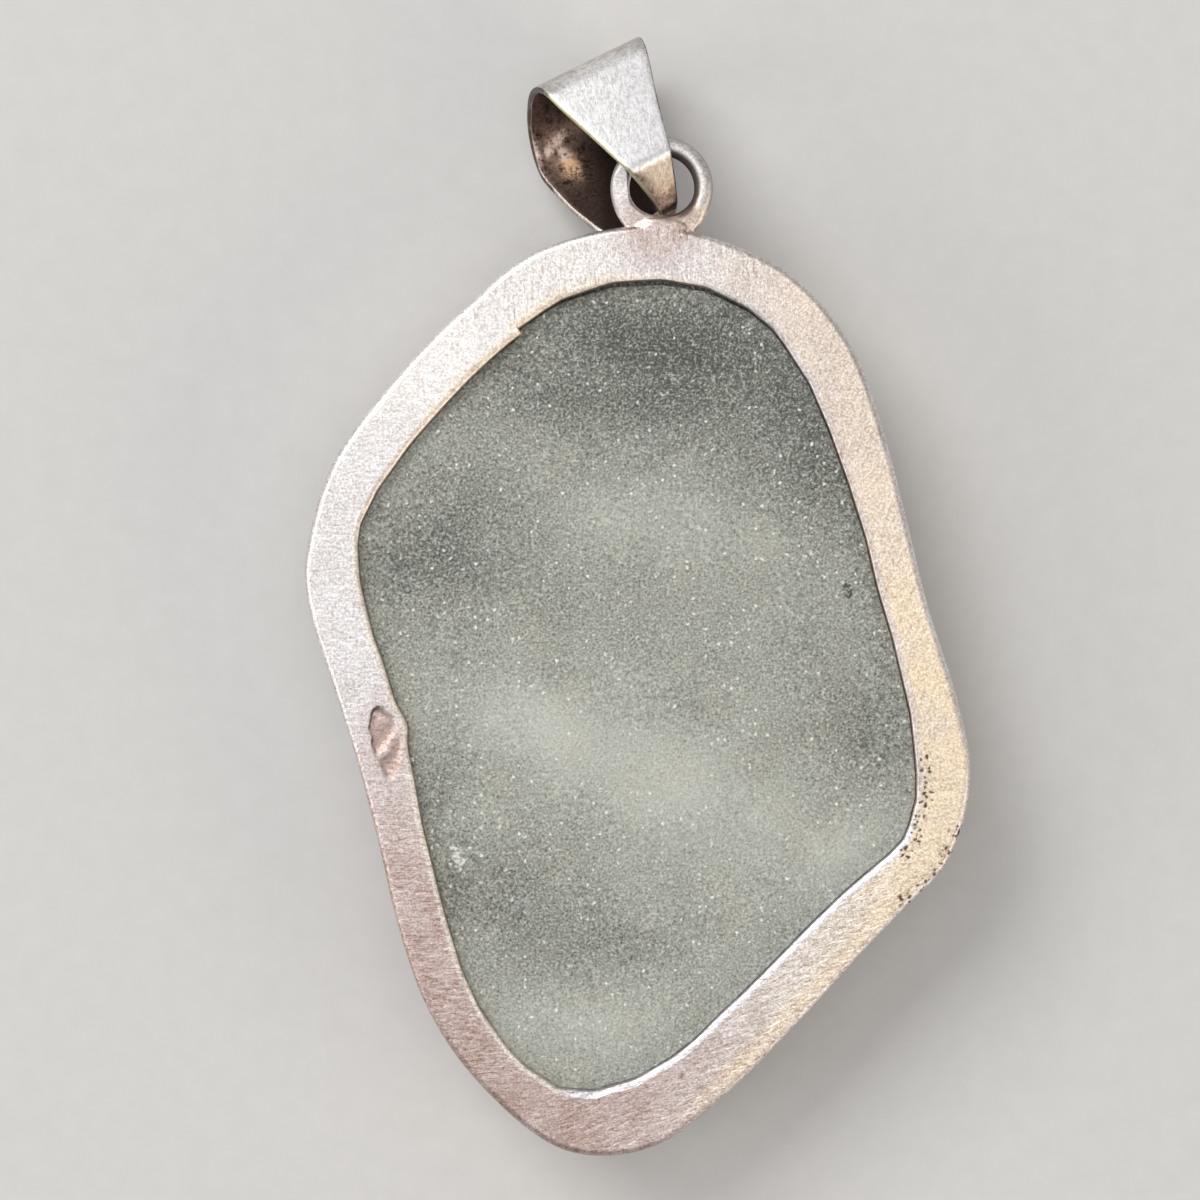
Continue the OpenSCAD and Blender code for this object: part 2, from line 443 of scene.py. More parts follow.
EDGE_RADIUS = 0.4 * MM
POINTS_A_SPAN = 12
rim_corners, window_corners = lines_at("setting", BACK_HEIGHT)
plate_edge = smooth_through(rim_corners, POINTS_A_SPAN)
window_line = smooth_through(matched(rim_corners, window_corners), POINTS_A_SPAN)
outer_line = plate_edge - EDGE_RADIUS * inward(plate_edge)
ROUND = len(outer_line)
print(f"{ROUND} points a line; outer edge {len_round(outer_line) / MM:.1f} mm long,",
      f"window {len_round(window_line) / MM:.1f} mm")

# %% [markdown]
# ## The sawn window
#
# The window was cut with a fretsaw and hardly cleaned up. Its edge is a chain of short straight cuts with soft
# corners between them. There is a step at the top left where the cut came back to its start, and the line
# bulges a little towards the glass where a punch was struck beside it. The cuts have random lengths from a
# fixed seed, and the step and the bulge are put at given places.

# %% Saw the window
CUT_LENGTHS = (1.2 * MM, 2.6 * MM)
CUT_WANDER = 0.04 * MM
CUT_WEAR = 6
SAW_STEP = in_picture(-4.0, 13.4)
PUNCH_BULGE = in_picture(-9.9, -6.3)
# How far the line is pushed in, and over what length, in mm
BEFORE_STEP, AFTER_STEP, BESIDE_PUNCH = (-0.17, 1.7), (0.15, 1.1), (0.26, 1.0)


def eased(line, passes):
    """The closed line with its corners worn: in each pass every point moves towards its neighbours."""
    for _ in range(passes):
        line = (np.roll(line, 1, axis=0) + 2 * line + np.roll(line, -1, axis=0)) / 4
    return line


def sawn(line, seed):
    """The line as a fretsaw leaves it: straight cuts of uneven length, with their corners slightly worn."""
    chance = random.Random(seed)
    sides = inward(line)
    spacing = len_round(line) / len(line)
    stops = [0]
    while stops[-1] + CUT_LENGTHS[1] / spacing < len(line):
        stops.append(stops[-1] + int(chance.uniform(*CUT_LENGTHS) / spacing))
    corners = {i: line[i] + sides[i] * chance.uniform(-CUT_WANDER, CUT_WANDER) for i in stops}
    corners[len(line)] = corners[0]
    stops.append(len(line))
    cut = line.copy()
    for a, b in zip(stops, stops[1:]):
        share = (np.arange(b - a) / (b - a))[:, None]
        cut[a:b] = corners[a] * (1 - share) + corners[b] * share
    return eased(cut, CUT_WEAR)


def mm_along(line, place):
    """How far along the line each point is from the place, in mm, negative before it."""
    nearest = int(np.argmin(np.linalg.norm(line - place, axis=1)))
    steps = (np.arange(len(line)) - nearest + len(line) // 2) % len(line) - len(line) // 2
    return steps * len_round(line) / len(line) / MM


from_step = mm_along(window_line, SAW_STEP)
push = BEFORE_STEP[0] * np.exp(from_step / BEFORE_STEP[1]) * (from_step < 0)
push += AFTER_STEP[0] * np.exp(-from_step / AFTER_STEP[1]) * (from_step >= 0)
push += BESIDE_PUNCH[0] * np.exp(-((mm_along(window_line, PUNCH_BULGE) / BESIDE_PUNCH[1]) ** 2))
sawn_line = sawn(window_line, seed=5) + inward(window_line) * push[:, None] * MM
print(f"window sawn: moved by {np.linalg.norm(sawn_line - window_line, axis=1).max() / MM:.2f} mm at most")

# %% [markdown]
# ## The setting
#
# Plate and bezel are one closed shell. Its section starts at the inner edge of the plate's face, rounds over
# the outer edge, runs down the bezel wall, curls in over the front of the glass, comes back up inside, and
# returns under the plate to the window, whose sawn edge is straight below and filed back above. Each row of
# the section becomes a ring of points, and the faces of the shell lie between neighbouring rings. The back
# face gets the most rows, because that is where the punch mark and the pits will be pressed in.

# %% Section of the bezel wall
PLATE_THICKNESS = 0.85 * MM
WALL = 0.5 * MM
SEAM_DEPTH = 0.03 * MM
SEAM_HALF_WIDTH = 0.08 * MM
EDGE_STEPS = 7
OUTER_WALL_ROWS = np.arange(6.0, 3.3, -0.35) * MM
INNER_WALL_ROWS = np.arange(3.8, 6.2, 0.5) * MM
under_plate = BACK_HEIGHT - PLATE_THICKNESS

# Curl of the bezel over the front of the glass, in mm. Columns: inset from the outer line, height
CURL = [
    (0, 3.3), (0, 2.9), (0.07, 2.45), (0.25, 2.08), (0.5, 1.78), (0.8, 1.58), (1.0, 1.57), (1.1, 1.7),
    (1.02, 1.93), (0.76, 2.34), (0.57, 2.75), (0.5, 3.15), (0.5, 3.6),
]


def open_curve(rows, steps):
    """A smooth open curve through rows of numbers, without its first and last row."""
    closed = smooth_through(np.array(rows, float), steps)
    return closed[steps:-2 * steps + 1]


wall_section = []
for s in range(1, EDGE_STEPS + 1):
    t = math.pi / 2 * s / EDGE_STEPS
    wall_section.append((EDGE_RADIUS * (1 - math.sin(t)), BACK_HEIGHT - EDGE_RADIUS * (1 - math.cos(t))))
wall_section += [(0, under_plate + SEAM_HALF_WIDTH), (SEAM_DEPTH, under_plate)]
wall_section += [(0, under_plate - SEAM_HALF_WIDTH)]
wall_section += [(0, height) for height in OUTER_WALL_ROWS]
wall_section += [tuple(row) for row in open_curve(CURL, 2) * MM]
wall_section += [(WALL, height) for height in (*INNER_WALL_ROWS, under_plate)]
print("rows in the bezel's section:", len(wall_section))

# %% Borders of the window's wall
EDGE_BREAK = 0.03 * MM
CORNER_SOFTENING = 14

# The edge of the window was filed differently on each side, and in a gap beside it the glass is painted dark
# as shade. Columns: direction that the side faces in degrees, inset of its foot, lean, depth of the filed
# part, gap, all in mm
WINDOW_SIDES = np.array([
    (0, 0.20, 0.22, 0.05, 0),
    (45, 0.20, 0.22, 0.03, 0),
    (90, 0.20, 0.36, 0.115, 0),
    (127, 0.20, 0.32, 0.072, 0.02),
    (180, 0.20, 0.30, 0.06, 0.03),
    (225, 0.12, 0.28, 0.08, 0.05),
    (270, -0.02, 0.25, 0.02, 0.22),
    (315, 0.16, 0.30, 0.11, 0.02),
])

sides = eased(inward(window_line), CORNER_SOFTENING)
sides /= np.linalg.norm(sides, axis=1)[:, None]
facing = np.degrees(np.arctan2(sides[:, 1], sides[:, 0])) % 360
foot_inset, lean, filed_depth, shaded_gap = (
    np.interp(facing, WINDOW_SIDES[:, 0], column, period=360) * MM for column in WINDOW_SIDES[:, 1:].T)
lower_border = sawn_line + sides * foot_inset[:, None]
upper_border = lower_border - sides * lean[:, None]
broken_edge = upper_border - sides * EDGE_BREAK
print(f"the wall leans by {lean.min() / MM:.2f} to {lean.max() / MM:.2f} mm")

# %% Build the shell of plate and bezel
UNDER_ROWS = 2
FACE_ROWS = 26
EDGE_DIP = 0.06

# Wall of the window, from the underside of the plate up. Columns: share of the lean, share of the filed
# depth, further depth below the back in mm
WINDOW_WALL = [
    (0.06, 0, 0.80), (0, 0, 0.66), (0, 0, 0.50), (0.02, 1.35, 0), (0.12, 1, 0), (0.5, 0.55, 0),
    (0.9, 0.12, 0),
]


def ring_at(line, height):
    return np.column_stack([line, np.broadcast_to(height, len(line))])


def between(line, other, share):
    return line + (other - line) * share


rings = [ring_at(outer_line + inset * inward(outer_line), height) for inset, height in wall_section]
wall_inside = outer_line + WALL * inward(outer_line)
for s in range(1, UNDER_ROWS + 1):
    rings.append(ring_at(between(wall_inside, lower_border, s / UNDER_ROWS), under_plate))
for share, filed_share, below in WINDOW_WALL:
    height = BACK_HEIGHT - below * MM - filed_share * filed_depth
    rings.append(ring_at(between(lower_border, upper_border, share), height))
face_start = len(rings)
for s in range(FACE_ROWS + 1):
    dip = EDGE_DIP * filed_depth * (s == 0)
    rings.append(ring_at(between(broken_edge, plate_edge, s / FACE_ROWS), BACK_HEIGHT - dip))
shell_points = np.concatenate(rings)
shell_faces = faces_between(len(rings), ROUND, closed=True)
print(f"shell: {len(rings)} rings, {len(shell_points)} points")

# %% [markdown]
# ## Marks in the back face
#
# A silversmith strikes a punch into the back. Here the mark is so worn that only one long dish is left of
# it, on the narrow left side of the plate, deepest at its upper end, with an uneven floor. The whole face
# also has a slight roll from hand sanding, a few hundredths of a millimetre, which keeps its gloss alive.

# %% Press the punch mark and the hand-sanded roll
# The mark and its deepest end, in mm from the middle of the picture. Columns: x, y, length, width, turn in
# degrees, depth
PUNCH_MARK = [
    (-10.74, -7.05, 3.40, 1.30, 101, 0.15),
    (-10.78, -6.30, 1.50, 1.00, 95, 0.05),
]
BORDER_UNEVENNESS = 0.20
FLOOR_UNEVENNESS = 0.9
FACE_ROLL = 0.030 * MM
WALL_ROLL = 0.025 * MM
ROLLS_PER_METRE = 420


def dish(places, x, y, length, width, turn, border=0.10):
    """1 inside an uneven oval mark, 0 outside, with a soft border whose half width is given in mm."""
    distance = from_oval(places, x, y, length, width, turn)
    near = distance < 1.5
    distance[near] *= 1 + BORDER_UNEVENNESS * noise_at((places[near, :2] - in_picture(x, y)) / MM * 2.0, 0)
    softness = border / (width / 2)
    return soft_step(1 + softness, 1 - softness, distance)


def punched(places):
    """How deep the punch mark is at each place, in mm, with an uneven floor."""
    depths = sum(depth * dish(places, *oval) for *oval, depth in PUNCH_MARK)
    struck = depths > 0
    depths[struck] *= 1 - FLOOR_UNEVENNESS * (0.4 + noise_at(places[struck, :2] / MM * 1.4, 4))
    return depths


on_face = np.arange(len(shell_points)) >= face_start * ROUND
roll = np.array([noise.noise(Vector(p) * ROLLS_PER_METRE) for p in shell_points])
shell_points[on_face, 2] -= FACE_ROLL * (0.5 + 0.5 * roll[on_face])
on_wall = (shell_points[:, 2] < BACK_HEIGHT - EDGE_RADIUS) & ~on_face
outwards = shell_points[:, :2] - shell_points[:, :2].mean(0)
wall_push = outwards / np.linalg.norm(outwards, axis=1)[:, None] * (WALL_ROLL * (roll - 1) / 2)[:, None]
shell_points[on_wall, :2] += wall_push[on_wall]
mark_depth = punched(shell_points)[on_face]
shell_points[on_face, 2] -= mark_depth * MM
setting = piece_from("setting_silver", shell_points, shell_faces, satin_silver)
print(f"punch mark: {mark_depth.max():.2f} mm deep")

# %% [markdown]
# ## The jump ring
#
# The ring is round wire bent round a rod, cut, closed and soldered on with its seam at the foot. A profile
# that follows a path is what Geometry Nodes do best: an arc that stops just short of a full turn is the
# path, a small circle is the wire, and the wire swells a little towards the seam, where solder crept along
# it. The smith filed the back of the piece after soldering, so the ring is flat on top at its foot and up
# its left arm. Each size is a named input.

# %% Helpers for Geometry Nodes
SOCKET_KINDS = {
    "size": "NodeSocketFloat", "count": "NodeSocketInt", "place": "NodeSocketVector",
    "metal": "NodeSocketMaterial",
}


def new_geometry_tree(name, **inputs):
    """An empty tree with a geometry input and output and one named input for each size."""
    tree = bpy.data.node_groups.new(name, "GeometryNodeTree")
    for way in ("INPUT", "OUTPUT"):
        tree.interface.new_socket("Geometry", in_out=way, socket_type="NodeSocketGeometry")
    for label, kind in inputs.items():
        tree.interface.new_socket(label.replace("_", " "), in_out="INPUT", socket_type=SOCKET_KINDS[kind])
    return tree, add(tree, "NodeGroupInput")


def vector_maths(operation, inputs, output="Vector"):
    return onto("ShaderNodeVectorMath", inputs, operation=operation)[output]


def moved(geometry, **where):
    """Moves the points of a geometry: Position puts them at a place, Offset pushes them."""
    return onto("GeometryNodeSetPosition", {"Geometry": geometry, **where})[0]


def finish_tree(geometry, metal):
    """Ends a tree: real geometry instead of instances, one material, and out."""
    real = onto("GeometryNodeRealizeInstances", {"Geometry": geometry})[0]
    dressed = onto("GeometryNodeSetMaterial", {"Geometry": real, "Material": metal})[0]
    onto("NodeGroupOutput", {"Geometry": dressed})
    return geometry.id_data


def made_real(piece):
    """Turns a piece with live modifiers into a plain mesh without them."""
    plain = bpy.data.meshes.new_from_object(piece.evaluated_get(bpy.context.evaluated_depsgraph_get()))
    piece.modifiers.clear()
    piece.data = plain


def grown(piece, tree, **inputs):
    """Runs a tree on a piece and leaves the result in it as a plain mesh."""
    modifier = piece.modifiers.new("tree", "NODES")
    modifier.node_group = tree
    sockets = {s.name: s.identifier for s in tree.interface.items_tree if s.in_out == "INPUT"}
    for label, value in inputs.items():
        modifier[sockets[label.replace("_", " ")]] = value
    made_real(piece)
    piece.data.name = piece.name
    faces = piece.data.polygons
    triangles = sum(len(face.vertices) - 2 for face in faces)
    print(f"{piece.name}: {len(piece.data.vertices)} points, {len(faces)} faces, {triangles} triangles")


# %% The tree for a ring of wire
def ring_of_wire():
    tree, given = new_geometry_tree(
        "ring_of_wire", Ring_radius="size", Wire_radius="size", Seam_angle="size", Swell="size",
        Flat_height="size", Filed_side="place", Steps_round="count", Wire_sides="count", Centre="place",
        Metal="metal")
    arc = onto("GeometryNodeCurveArc", {
        "Resolution": given["Steps round"], "Radius": given["Ring radius"],
        "Start Angle": plus(times(given["Seam angle"], 0.5), -math.pi / 2),
        "Sweep Angle": minus(math.tau, given["Seam angle"]),
    })["Curve"]
    share = add(tree, "GeometryNodeSplineParameter")["Factor"]
    from_middle = maths("ABSOLUTE", maths("MULTIPLY_ADD", share, 2.0, -1.0))
    wire = onto("GeometryNodeCurvePrimitiveCircle", {
        "Resolution": given["Wire sides"], "Radius": given["Wire radius"],
    })["Curve"]
    swept = onto("GeometryNodeCurveToMesh", {
        "Curve": arc, "Profile Curve": wire, "Fill Caps": True,
        "Scale": plus(times(ramp(from_middle, 0.55, 0.95), given["Swell"]), 1.0),
    })[0]
    position = add(tree, "GeometryNodeInputPosition")[0]
    parts = onto("ShaderNodeSeparateXYZ", {"Vector": position})
    toward = vector_maths("DOT_PRODUCT", {0: position, 1: given["Filed side"]}, "Value")
    filed_share = maths("DIVIDE", toward, given["Ring radius"])
    above_wire = times(given["Wire radius"], 1.3)
    file_height = ramp(filed_share, -0.3, 0.55, above_wire, given["Flat height"])
    filed = onto("ShaderNodeCombineXYZ", {
        "X": parts["X"], "Y": parts["Y"], "Z": maths("MINIMUM", parts["Z"], file_height),
    })[0]
    placed = onto("GeometryNodeTransform", {
        "Geometry": moved(swept, Position=filed), "Translation": given["Centre"],
    })[0]
    smooth = onto("GeometryNodeSetShadeSmooth", {"Geometry": placed})[0]
    return finish_tree(smooth, given["Metal"])


# %% Bend the ring
RING_WIRE = 0.95 * MM
RING_DIAMETER = 4.2 * MM
ring_mount = next(m for m in frame["record"]["mounts"] if m["name"] == "jump_ring")
RING_CENTRE = Vector(ring_mount["pos_m"])
FILED_SIDE = Vector((-0.5, -0.87, 0))
ring = new_object("ring_blank", bpy.data.meshes.new("ring_blank"))
grown(ring, ring_of_wire(), Ring_radius=RING_DIAMETER / 2, Wire_radius=RING_WIRE / 2, Seam_angle=0.035,
      Swell=0.42, Flat_height=0.26 * MM, Filed_side=FILED_SIDE, Steps_round=150, Wire_sides=40,
      Centre=RING_CENTRE, Metal=satin_silver)

# %% [markdown]
# ## Solder
#
# Silver solder leaves a small pool where two parts meet, thickest in the corner between them and feathered
# out along both. The pool is a lumpy mound, filed off almost flush with the back. A boolean union fuses
# shell, ring and pool into the one solid that they are on the real piece, and a little smoothing of the
# points beside the joint turns the hard crossing lines into fillets.

# %% Solder the ring to the plate
POOL_RADII = Vector((1.72, 0.70, 0.47)) * MM
POOL_CENTRE = RING_CENTRE + Vector((-0.02, -2.03, -0.03)) * MM
LUMP_HEIGHT = 0.10
LUMPS_ACROSS = 2.3
POOL_TOP = BACK_HEIGHT - 0.045 * MM
LEFT_BY_FILE = 0.1
JOINT_REACH = 2.3 * MM
HARD_ANGLE = math.radians(24)
below_face = BACK_HEIGHT - 0.01 * MM


def solder_pool():
    """A closed, slightly lumpy mound round the joint."""
    pool = bmesh.new()
    bmesh.ops.create_icosphere(pool, subdivisions=5, radius=1)
    for v in pool.verts:
        lump = 1 + LUMP_HEIGHT * noise.noise(v.co * LUMPS_ACROSS)
        v.co = Vector(a * b * lump for a, b in zip(v.co, POOL_RADII)) + POOL_CENTRE
        v.co.z = min(v.co.z, POOL_TOP + LEFT_BY_FILE * (v.co.z - POOL_TOP))
    mesh = bpy.data.meshes.new("solder_blank")
    pool.to_mesh(mesh)
    pool.free()
    mesh.materials.append(satin_silver)
    return new_object("solder_blank", mesh)


def fused(piece, *others):
    """Unites closed pieces into the first one's mesh and removes the others."""
    for other in others:
        union = piece.modifiers.new("union", "BOOLEAN")
        union.operation = "UNION"
        union.solver = "EXACT"
        union.object = other
    made_real(piece)
    for other in others:
        bpy.data.objects.remove(other)


def fillet_joint(mesh, centre, reach, passes):
    """Smooths the points below the face, beside the crossing lines round a joint, into fillets."""
    joint = bmesh.new()
    joint.from_mesh(mesh)
    near = [e for e in joint.edges if (e.verts[0].co - centre).length < reach and len(e.link_faces) == 2]
    sharp = {v for e in near if e.calc_face_angle() > HARD_ANGLE for v in e.verts}
    ring_out = {e.other_vert(v) for v in sharp for e in v.link_edges}
    soft = [v for v in sharp | ring_out if v.co.z < below_face]
    soft.sort(key=lambda v: v.index)
    all_ways = {"use_axis_x": True, "use_axis_y": True, "use_axis_z": True}
    for _ in range(passes):
        bmesh.ops.smooth_vert(joint, verts=soft, factor=0.5, **all_ways)
    joint.to_mesh(mesh)
    joint.free()
    return len(soft)


fused(setting, ring, solder_pool())
softened = fillet_joint(setting.data, POOL_CENTRE, JOINT_REACH, passes=14)
print(f"setting fused: {len(setting.data.polygons)} faces, {softened} points softened at the joint")

# %% [markdown]
# ## Pits
#
# Cast or overheated silver has small pits, and dirt keeps them dark. They crowd the lower right corner,
# along both borders of the plate, and a fine scatter lies at the top left. Where pits are scattered over a
# surface, Geometry Nodes can drop seeded points on it with a least spacing, measure how far each mesh point
# is from the nearest one, press the surface in there, and leave the same measure behind as a painted value
# for the material to darken. A noise shifts the places that are measured, so no pit is quite round. The
# smallest pits are finer than the mesh, so the silver's material adds those in the same places.

# %% The tree that pits a surface
def painted_on_mesh(tree, name):
    return add(tree, "GeometryNodeInputNamedAttribute", {"Name": name}, data_type="FLOAT")["Attribute"]


def pitted_surface():
    tree, given = new_geometry_tree(
        "pitted_surface", Pits_per_area="size", Least_spacing="size", Pit_radius="size", Pit_depth="size",
        Wobble="size", Seed="count", Metal="metal")
    dropped = onto("GeometryNodeDistributePointsOnFaces", {
        "Mesh": given["Geometry"], "Distance Min": given["Least spacing"], "Seed": given["Seed"],
        "Density Max": given["Pits per area"],
        "Density Factor": ramp(painted_on_mesh(tree, "pitting"), 0.4, 1.0),
    }, distribute_method="POISSON")["Points"]
    position = add(tree, "GeometryNodeInputPosition")[0]
    wobble = add(tree, "ShaderNodeTexNoise", {"Scale": 5.0 / MM, "Detail": 1.0})["Color"]
    shift = vector_maths("SUBTRACT", {0: wobble, 1: (0.5, 0.5, 0.5)})
    shift = vector_maths("SCALE", {0: shift, "Scale": given["Wobble"]})
    away = onto("GeometryNodeProximity", {
        "Geometry": dropped, "Sample Position": vector_maths("ADD", {0: position, 1: shift}),
    }, target_element="POINTS")["Distance"]
    uneven = add(tree, "ShaderNodeTexNoise", {"Scale": 1.7 / MM, "Detail": 1.0})["Fac"]
    reach = times(given["Pit radius"], swing(uneven, 0.6, 1.4))
    pit = ramp(minus(1.0, maths("DIVIDE", away, reach)), 0.0, 0.8)
    stored = onto("GeometryNodeStoreNamedAttribute", {
        "Geometry": given["Geometry"], "Name": "pit", "Value": pit,
    }, data_type="FLOAT", domain="POINT")["Geometry"]
    press = vector_maths("SCALE", {0: (0, 0, -1), "Scale": times(pit, given["Pit depth"])})
    return finish_tree(moved(stored, Offset=press), given["Metal"])


# %% Pit the corner and the top left
# Where pits crowd, in mm from the middle of the picture. Columns: x, y, reach, crowding, share away from the
# borders
PIT_FIELDS = [
    (15.9, -8.3, 1.8, 0.82, 0.06),
    (15.8, -10.2, 1.8, 0.92, 0.08),
    (15.5, -12.0, 1.7, 0.95, 0.10),
    (17.8, -12.2, 1.6, 0.98, 0.10),
    (17.0, -13.6, 1.6, 0.98, 0.14),
    (15.9, -14.7, 1.7, 0.98, 0.14),
    (-5.6, 13.4, 4.6, 0.42, 1.0),
    (-2.0, 16.0, 3.0, 0.30, 1.0),
    (-8.8, 10.2, 3.4, 0.35, 1.0),
]
PITS_BESIDE_WINDOW = 0.15 * MM


def pitting_at(places):
    """How crowded the pits are at each place: most along the plate's two borders inside each field."""
    flat = places[:, :2]
    to_window, _ = nearest_to(flat, upper_border - sides * PITS_BESIDE_WINDOW)
    to_outer, _ = nearest_to(flat, outer_line)
    border = np.maximum(soft_step(0.6, 0.2, to_window / MM), soft_step(0.85, 0.45, to_outer / MM))
    crowd = np.zeros(len(flat))
    for x, y, reach, crowding, elsewhere in PIT_FIELDS:
        away = np.linalg.norm(flat - in_picture(x, y), axis=1) / MM
        field = crowding * soft_step(reach, 0.4 * reach, away)
        crowd = np.maximum(crowd, field * np.maximum(border, elsewhere))
    return crowd * (places[:, 2] > BACK_HEIGHT - 0.3 * MM)


paint(setting, "pitting", pitting_at(points_of(setting)))
grown(setting, pitted_surface(), Pits_per_area=12.0e6, Least_spacing=0.24 * MM, Pit_radius=0.15 * MM,
      Pit_depth=0.03 * MM, Wobble=0.34 * MM, Seed=11, Metal=satin_silver)

# %% [markdown]
# ## Where the silver is worn, tarnished and filed
#
# The material asks for painted values, one for each tone and stroke direction. Painting them on the mesh
# keeps the pattern with the piece from every side. Each follows a simple rule of place, a product of soft
# steps, so the first cell measures each point once: how far right and up it is, how far from the window, the
# outer edge and the ring, all in mm. A slow drift bends the borders between the tones.

# %% Measure where each point of the setting lies
places = points_of(setting)
x, y = ((places[:, :2] - PICTURE_MIDDLE) / MM).T
z = places[:, 2]
drift = noise_at(np.column_stack([x / 7, y / 7]), 2)
to_window, beside = nearest_to(places, lower_border)
to_window = to_window / MM
to_outer = nearest_to(places, outer_line)[0] / MM
from_ring_x, from_ring_y = ((places[:, :2] - np.array(RING_CENTRE)[:2]) / MM).T
from_ring = np.hypot(from_ring_x, from_ring_y)
from_joint = np.linalg.norm(places - np.array(POOL_CENTRE), axis=1) / MM

on_plate = z > under_plate
top_left = soft_step(6, 11, y) * soft_step(4, -2, x)
lower_right = soft_step(2, 7, x) * soft_step(-12, -16, y)
outer_half = soft_step(1.6, 0.7, to_outer)
outer_edge = soft_step(0.45, 0.20, to_outer)
foot = soft_step(-3, -17, y - 2 * drift) * soft_step(13, 0, x) * (1 - 0.5 * lower_right * outer_half)
window_wall = soft_step(1.02, 0.80, to_window / (lean[beside] / MM)) * on_plate
print(f"{np.mean(window_wall > 0.5):.0%} of the setting's points lie on the wall of the window")

# %% [markdown]
# The straw and cream here are mostly painted warm reflections. On the right side, all but its rounded edges,
# most of all along the outer half of the rim at the lower right, the straw is a painted warm reflection, and
# so is the cream on the filed edge at the top left. The straw stain at the ring's foot and a faint cream over
# the upper left are thin films that years of skin and air leave. The window's wall is fresh silver at the foot
# and the lower right, where it faces the top of the picture and the window, and its cool tint there is also a
# painted reflection; a little straw lies on it on the right.

# %% Paint the straw, cream and fresh silver, with their painted reflections
# Straw stain at the ring's foot, in mm from the middle of the picture: x, y, length, width, turn
FOOT_STAIN = (4.30, 19.15, 1.9, 1.2, 35)

faces = facing[beside]
# Fresh silver and a painted cool reflection, on the walls of the window that face the window light.
fresh_and_reflection = soft_step(60, 85, faces) * soft_step(168, 148, faces)
paint(setting, "fresh_and_reflection", 0.8 * window_wall * fresh_and_reflection)
right_wall = window_wall * soft_step(150, 170, faces) * soft_step(215, 195, faces)
# Painted warm reflection on the filed edge of the window, most at the top left.
filed_edge_reflection = (0.40 + 0.30 * top_left) * soft_step(0.40 + 0.45 * top_left, 0.15, to_window)
filed_edge_reflection *= on_plate * soft_step(9, 2, x)
# Painted warm reflection on the right side, strongest along the outer half of the rim at the lower right.
warm_reflection_right = soft_step(3, 13, x + 2 * drift) * (0.60 + 0.35 * soft_step(9, -3, y))
warm_reflection_right *= 1 - 0.45 * lower_right * (1 - outer_half)
warm_reflection_right = np.maximum(warm_reflection_right, 0.80 * lower_right * outer_half)
warm_reflection_right *= 1 - 0.85 * np.maximum(window_wall, soft_step(0.40, 0.15, to_outer))
cream_face = 0.14 * top_left + 0.75 * dish(places, *FOOT_STAIN, border=0.2)
paint(setting, "straw", np.maximum.reduce([warm_reflection_right, 0.32 * right_wall, filed_edge_reflection, cream_face]))
print(f"straw: {np.mean(warm_reflection_right > 0.5):.0%} of the points")

# %% [markdown]
# Pink tarnish is older and thicker. It lies towards the foot, round the solder, round the punch mark and at
# the upper right. At the upper left and along parts of the outer edge a painted sheen makes the silver
# brighter.

# %% Paint the pink tarnish and the painted sheen
# Place of the painted sheen and the struck area, in mm from the middle of the picture: x, y, length, width,
# turn
SHEEN_PLACE = (-6.5, 12.5, 12, 12, 0)
STRUCK_AREA = (-10.75, -7.0, 4.6, 2.2, 100)

# Painted sheen: brighter silver at the upper left and along parts of the outer edge.
sheen_on_edge = outer_edge * (z > BACK_HEIGHT - 0.6 * MM)
sheen_on_edge *= np.maximum(top_left, soft_step(4, 10, x) * soft_step(-9, 0, y))
paint(setting, "painted_sheen", swell(places, *SHEEN_PLACE) + 1.5 * sheen_on_edge)
mark_depth = punched(places) * on_plate
marks = soft_step(0.0, 0.10, mark_depth)
pink = [
    foot * (1 - filed_edge_reflection) * (1 - window_wall),
    0.74 * soft_step(3.0, 1.0, from_joint + drift),
    outer_edge * np.maximum(0.14 * soft_step(4, 10, x), 0.10 * top_left),
    0.75 * marks,
    0.22 * soft_step(2, 9, x) * soft_step(-2, 10, y),
    0.30 * dish(places, *STRUCK_AREA, border=0.4) * on_plate,
    0.30 * right_wall,
]
paint(setting, "pink", np.clip(sum(pink), 0, 1))
print(f"pink: {np.mean(sum(pink) > 0.5):.0%} of the points")

# %% [markdown]
# Dark sulphide stays where nothing rubs: in the punch mark, in the pits and in the seam round the ring's
# outside. The inner side of the ring is dark with tarnish and painted shade, most on the right. A painted
# shadow lies on the upper left wall of the punch mark and at the foot of the window's wall, and the bezel is
# darker further below the back.

# %% Paint the dark places
# The painted shadow on the punch mark's upper left wall: the mark is deeper this far to the right and down
# from that wall
UNDER_WALL = np.array((0.10, -0.10, 0)) * MM

mark_wall_shadow = 0.75 * soft_step(0.01, 0.07, punched(places + UNDER_WALL) - mark_depth) * on_plate
low = 0.35 * soft_step(BACK_HEIGHT - 0.7 * MM, BACK_HEIGHT - 1.6 * MM, z)
pits = np.zeros(len(places), np.float32)
setting.data.attributes["pit"].data.foreach_get("value", pits)
# Painted shadow at the foot of the window's wall, beside the glass.
window_foot_shadow = 0.50 * soft_step(0.02, 0.0, to_window) * on_plate * (z < BACK_HEIGHT - 0.12 * MM)
ring_foot = soft_step(-1.1, -1.9, from_ring_y)
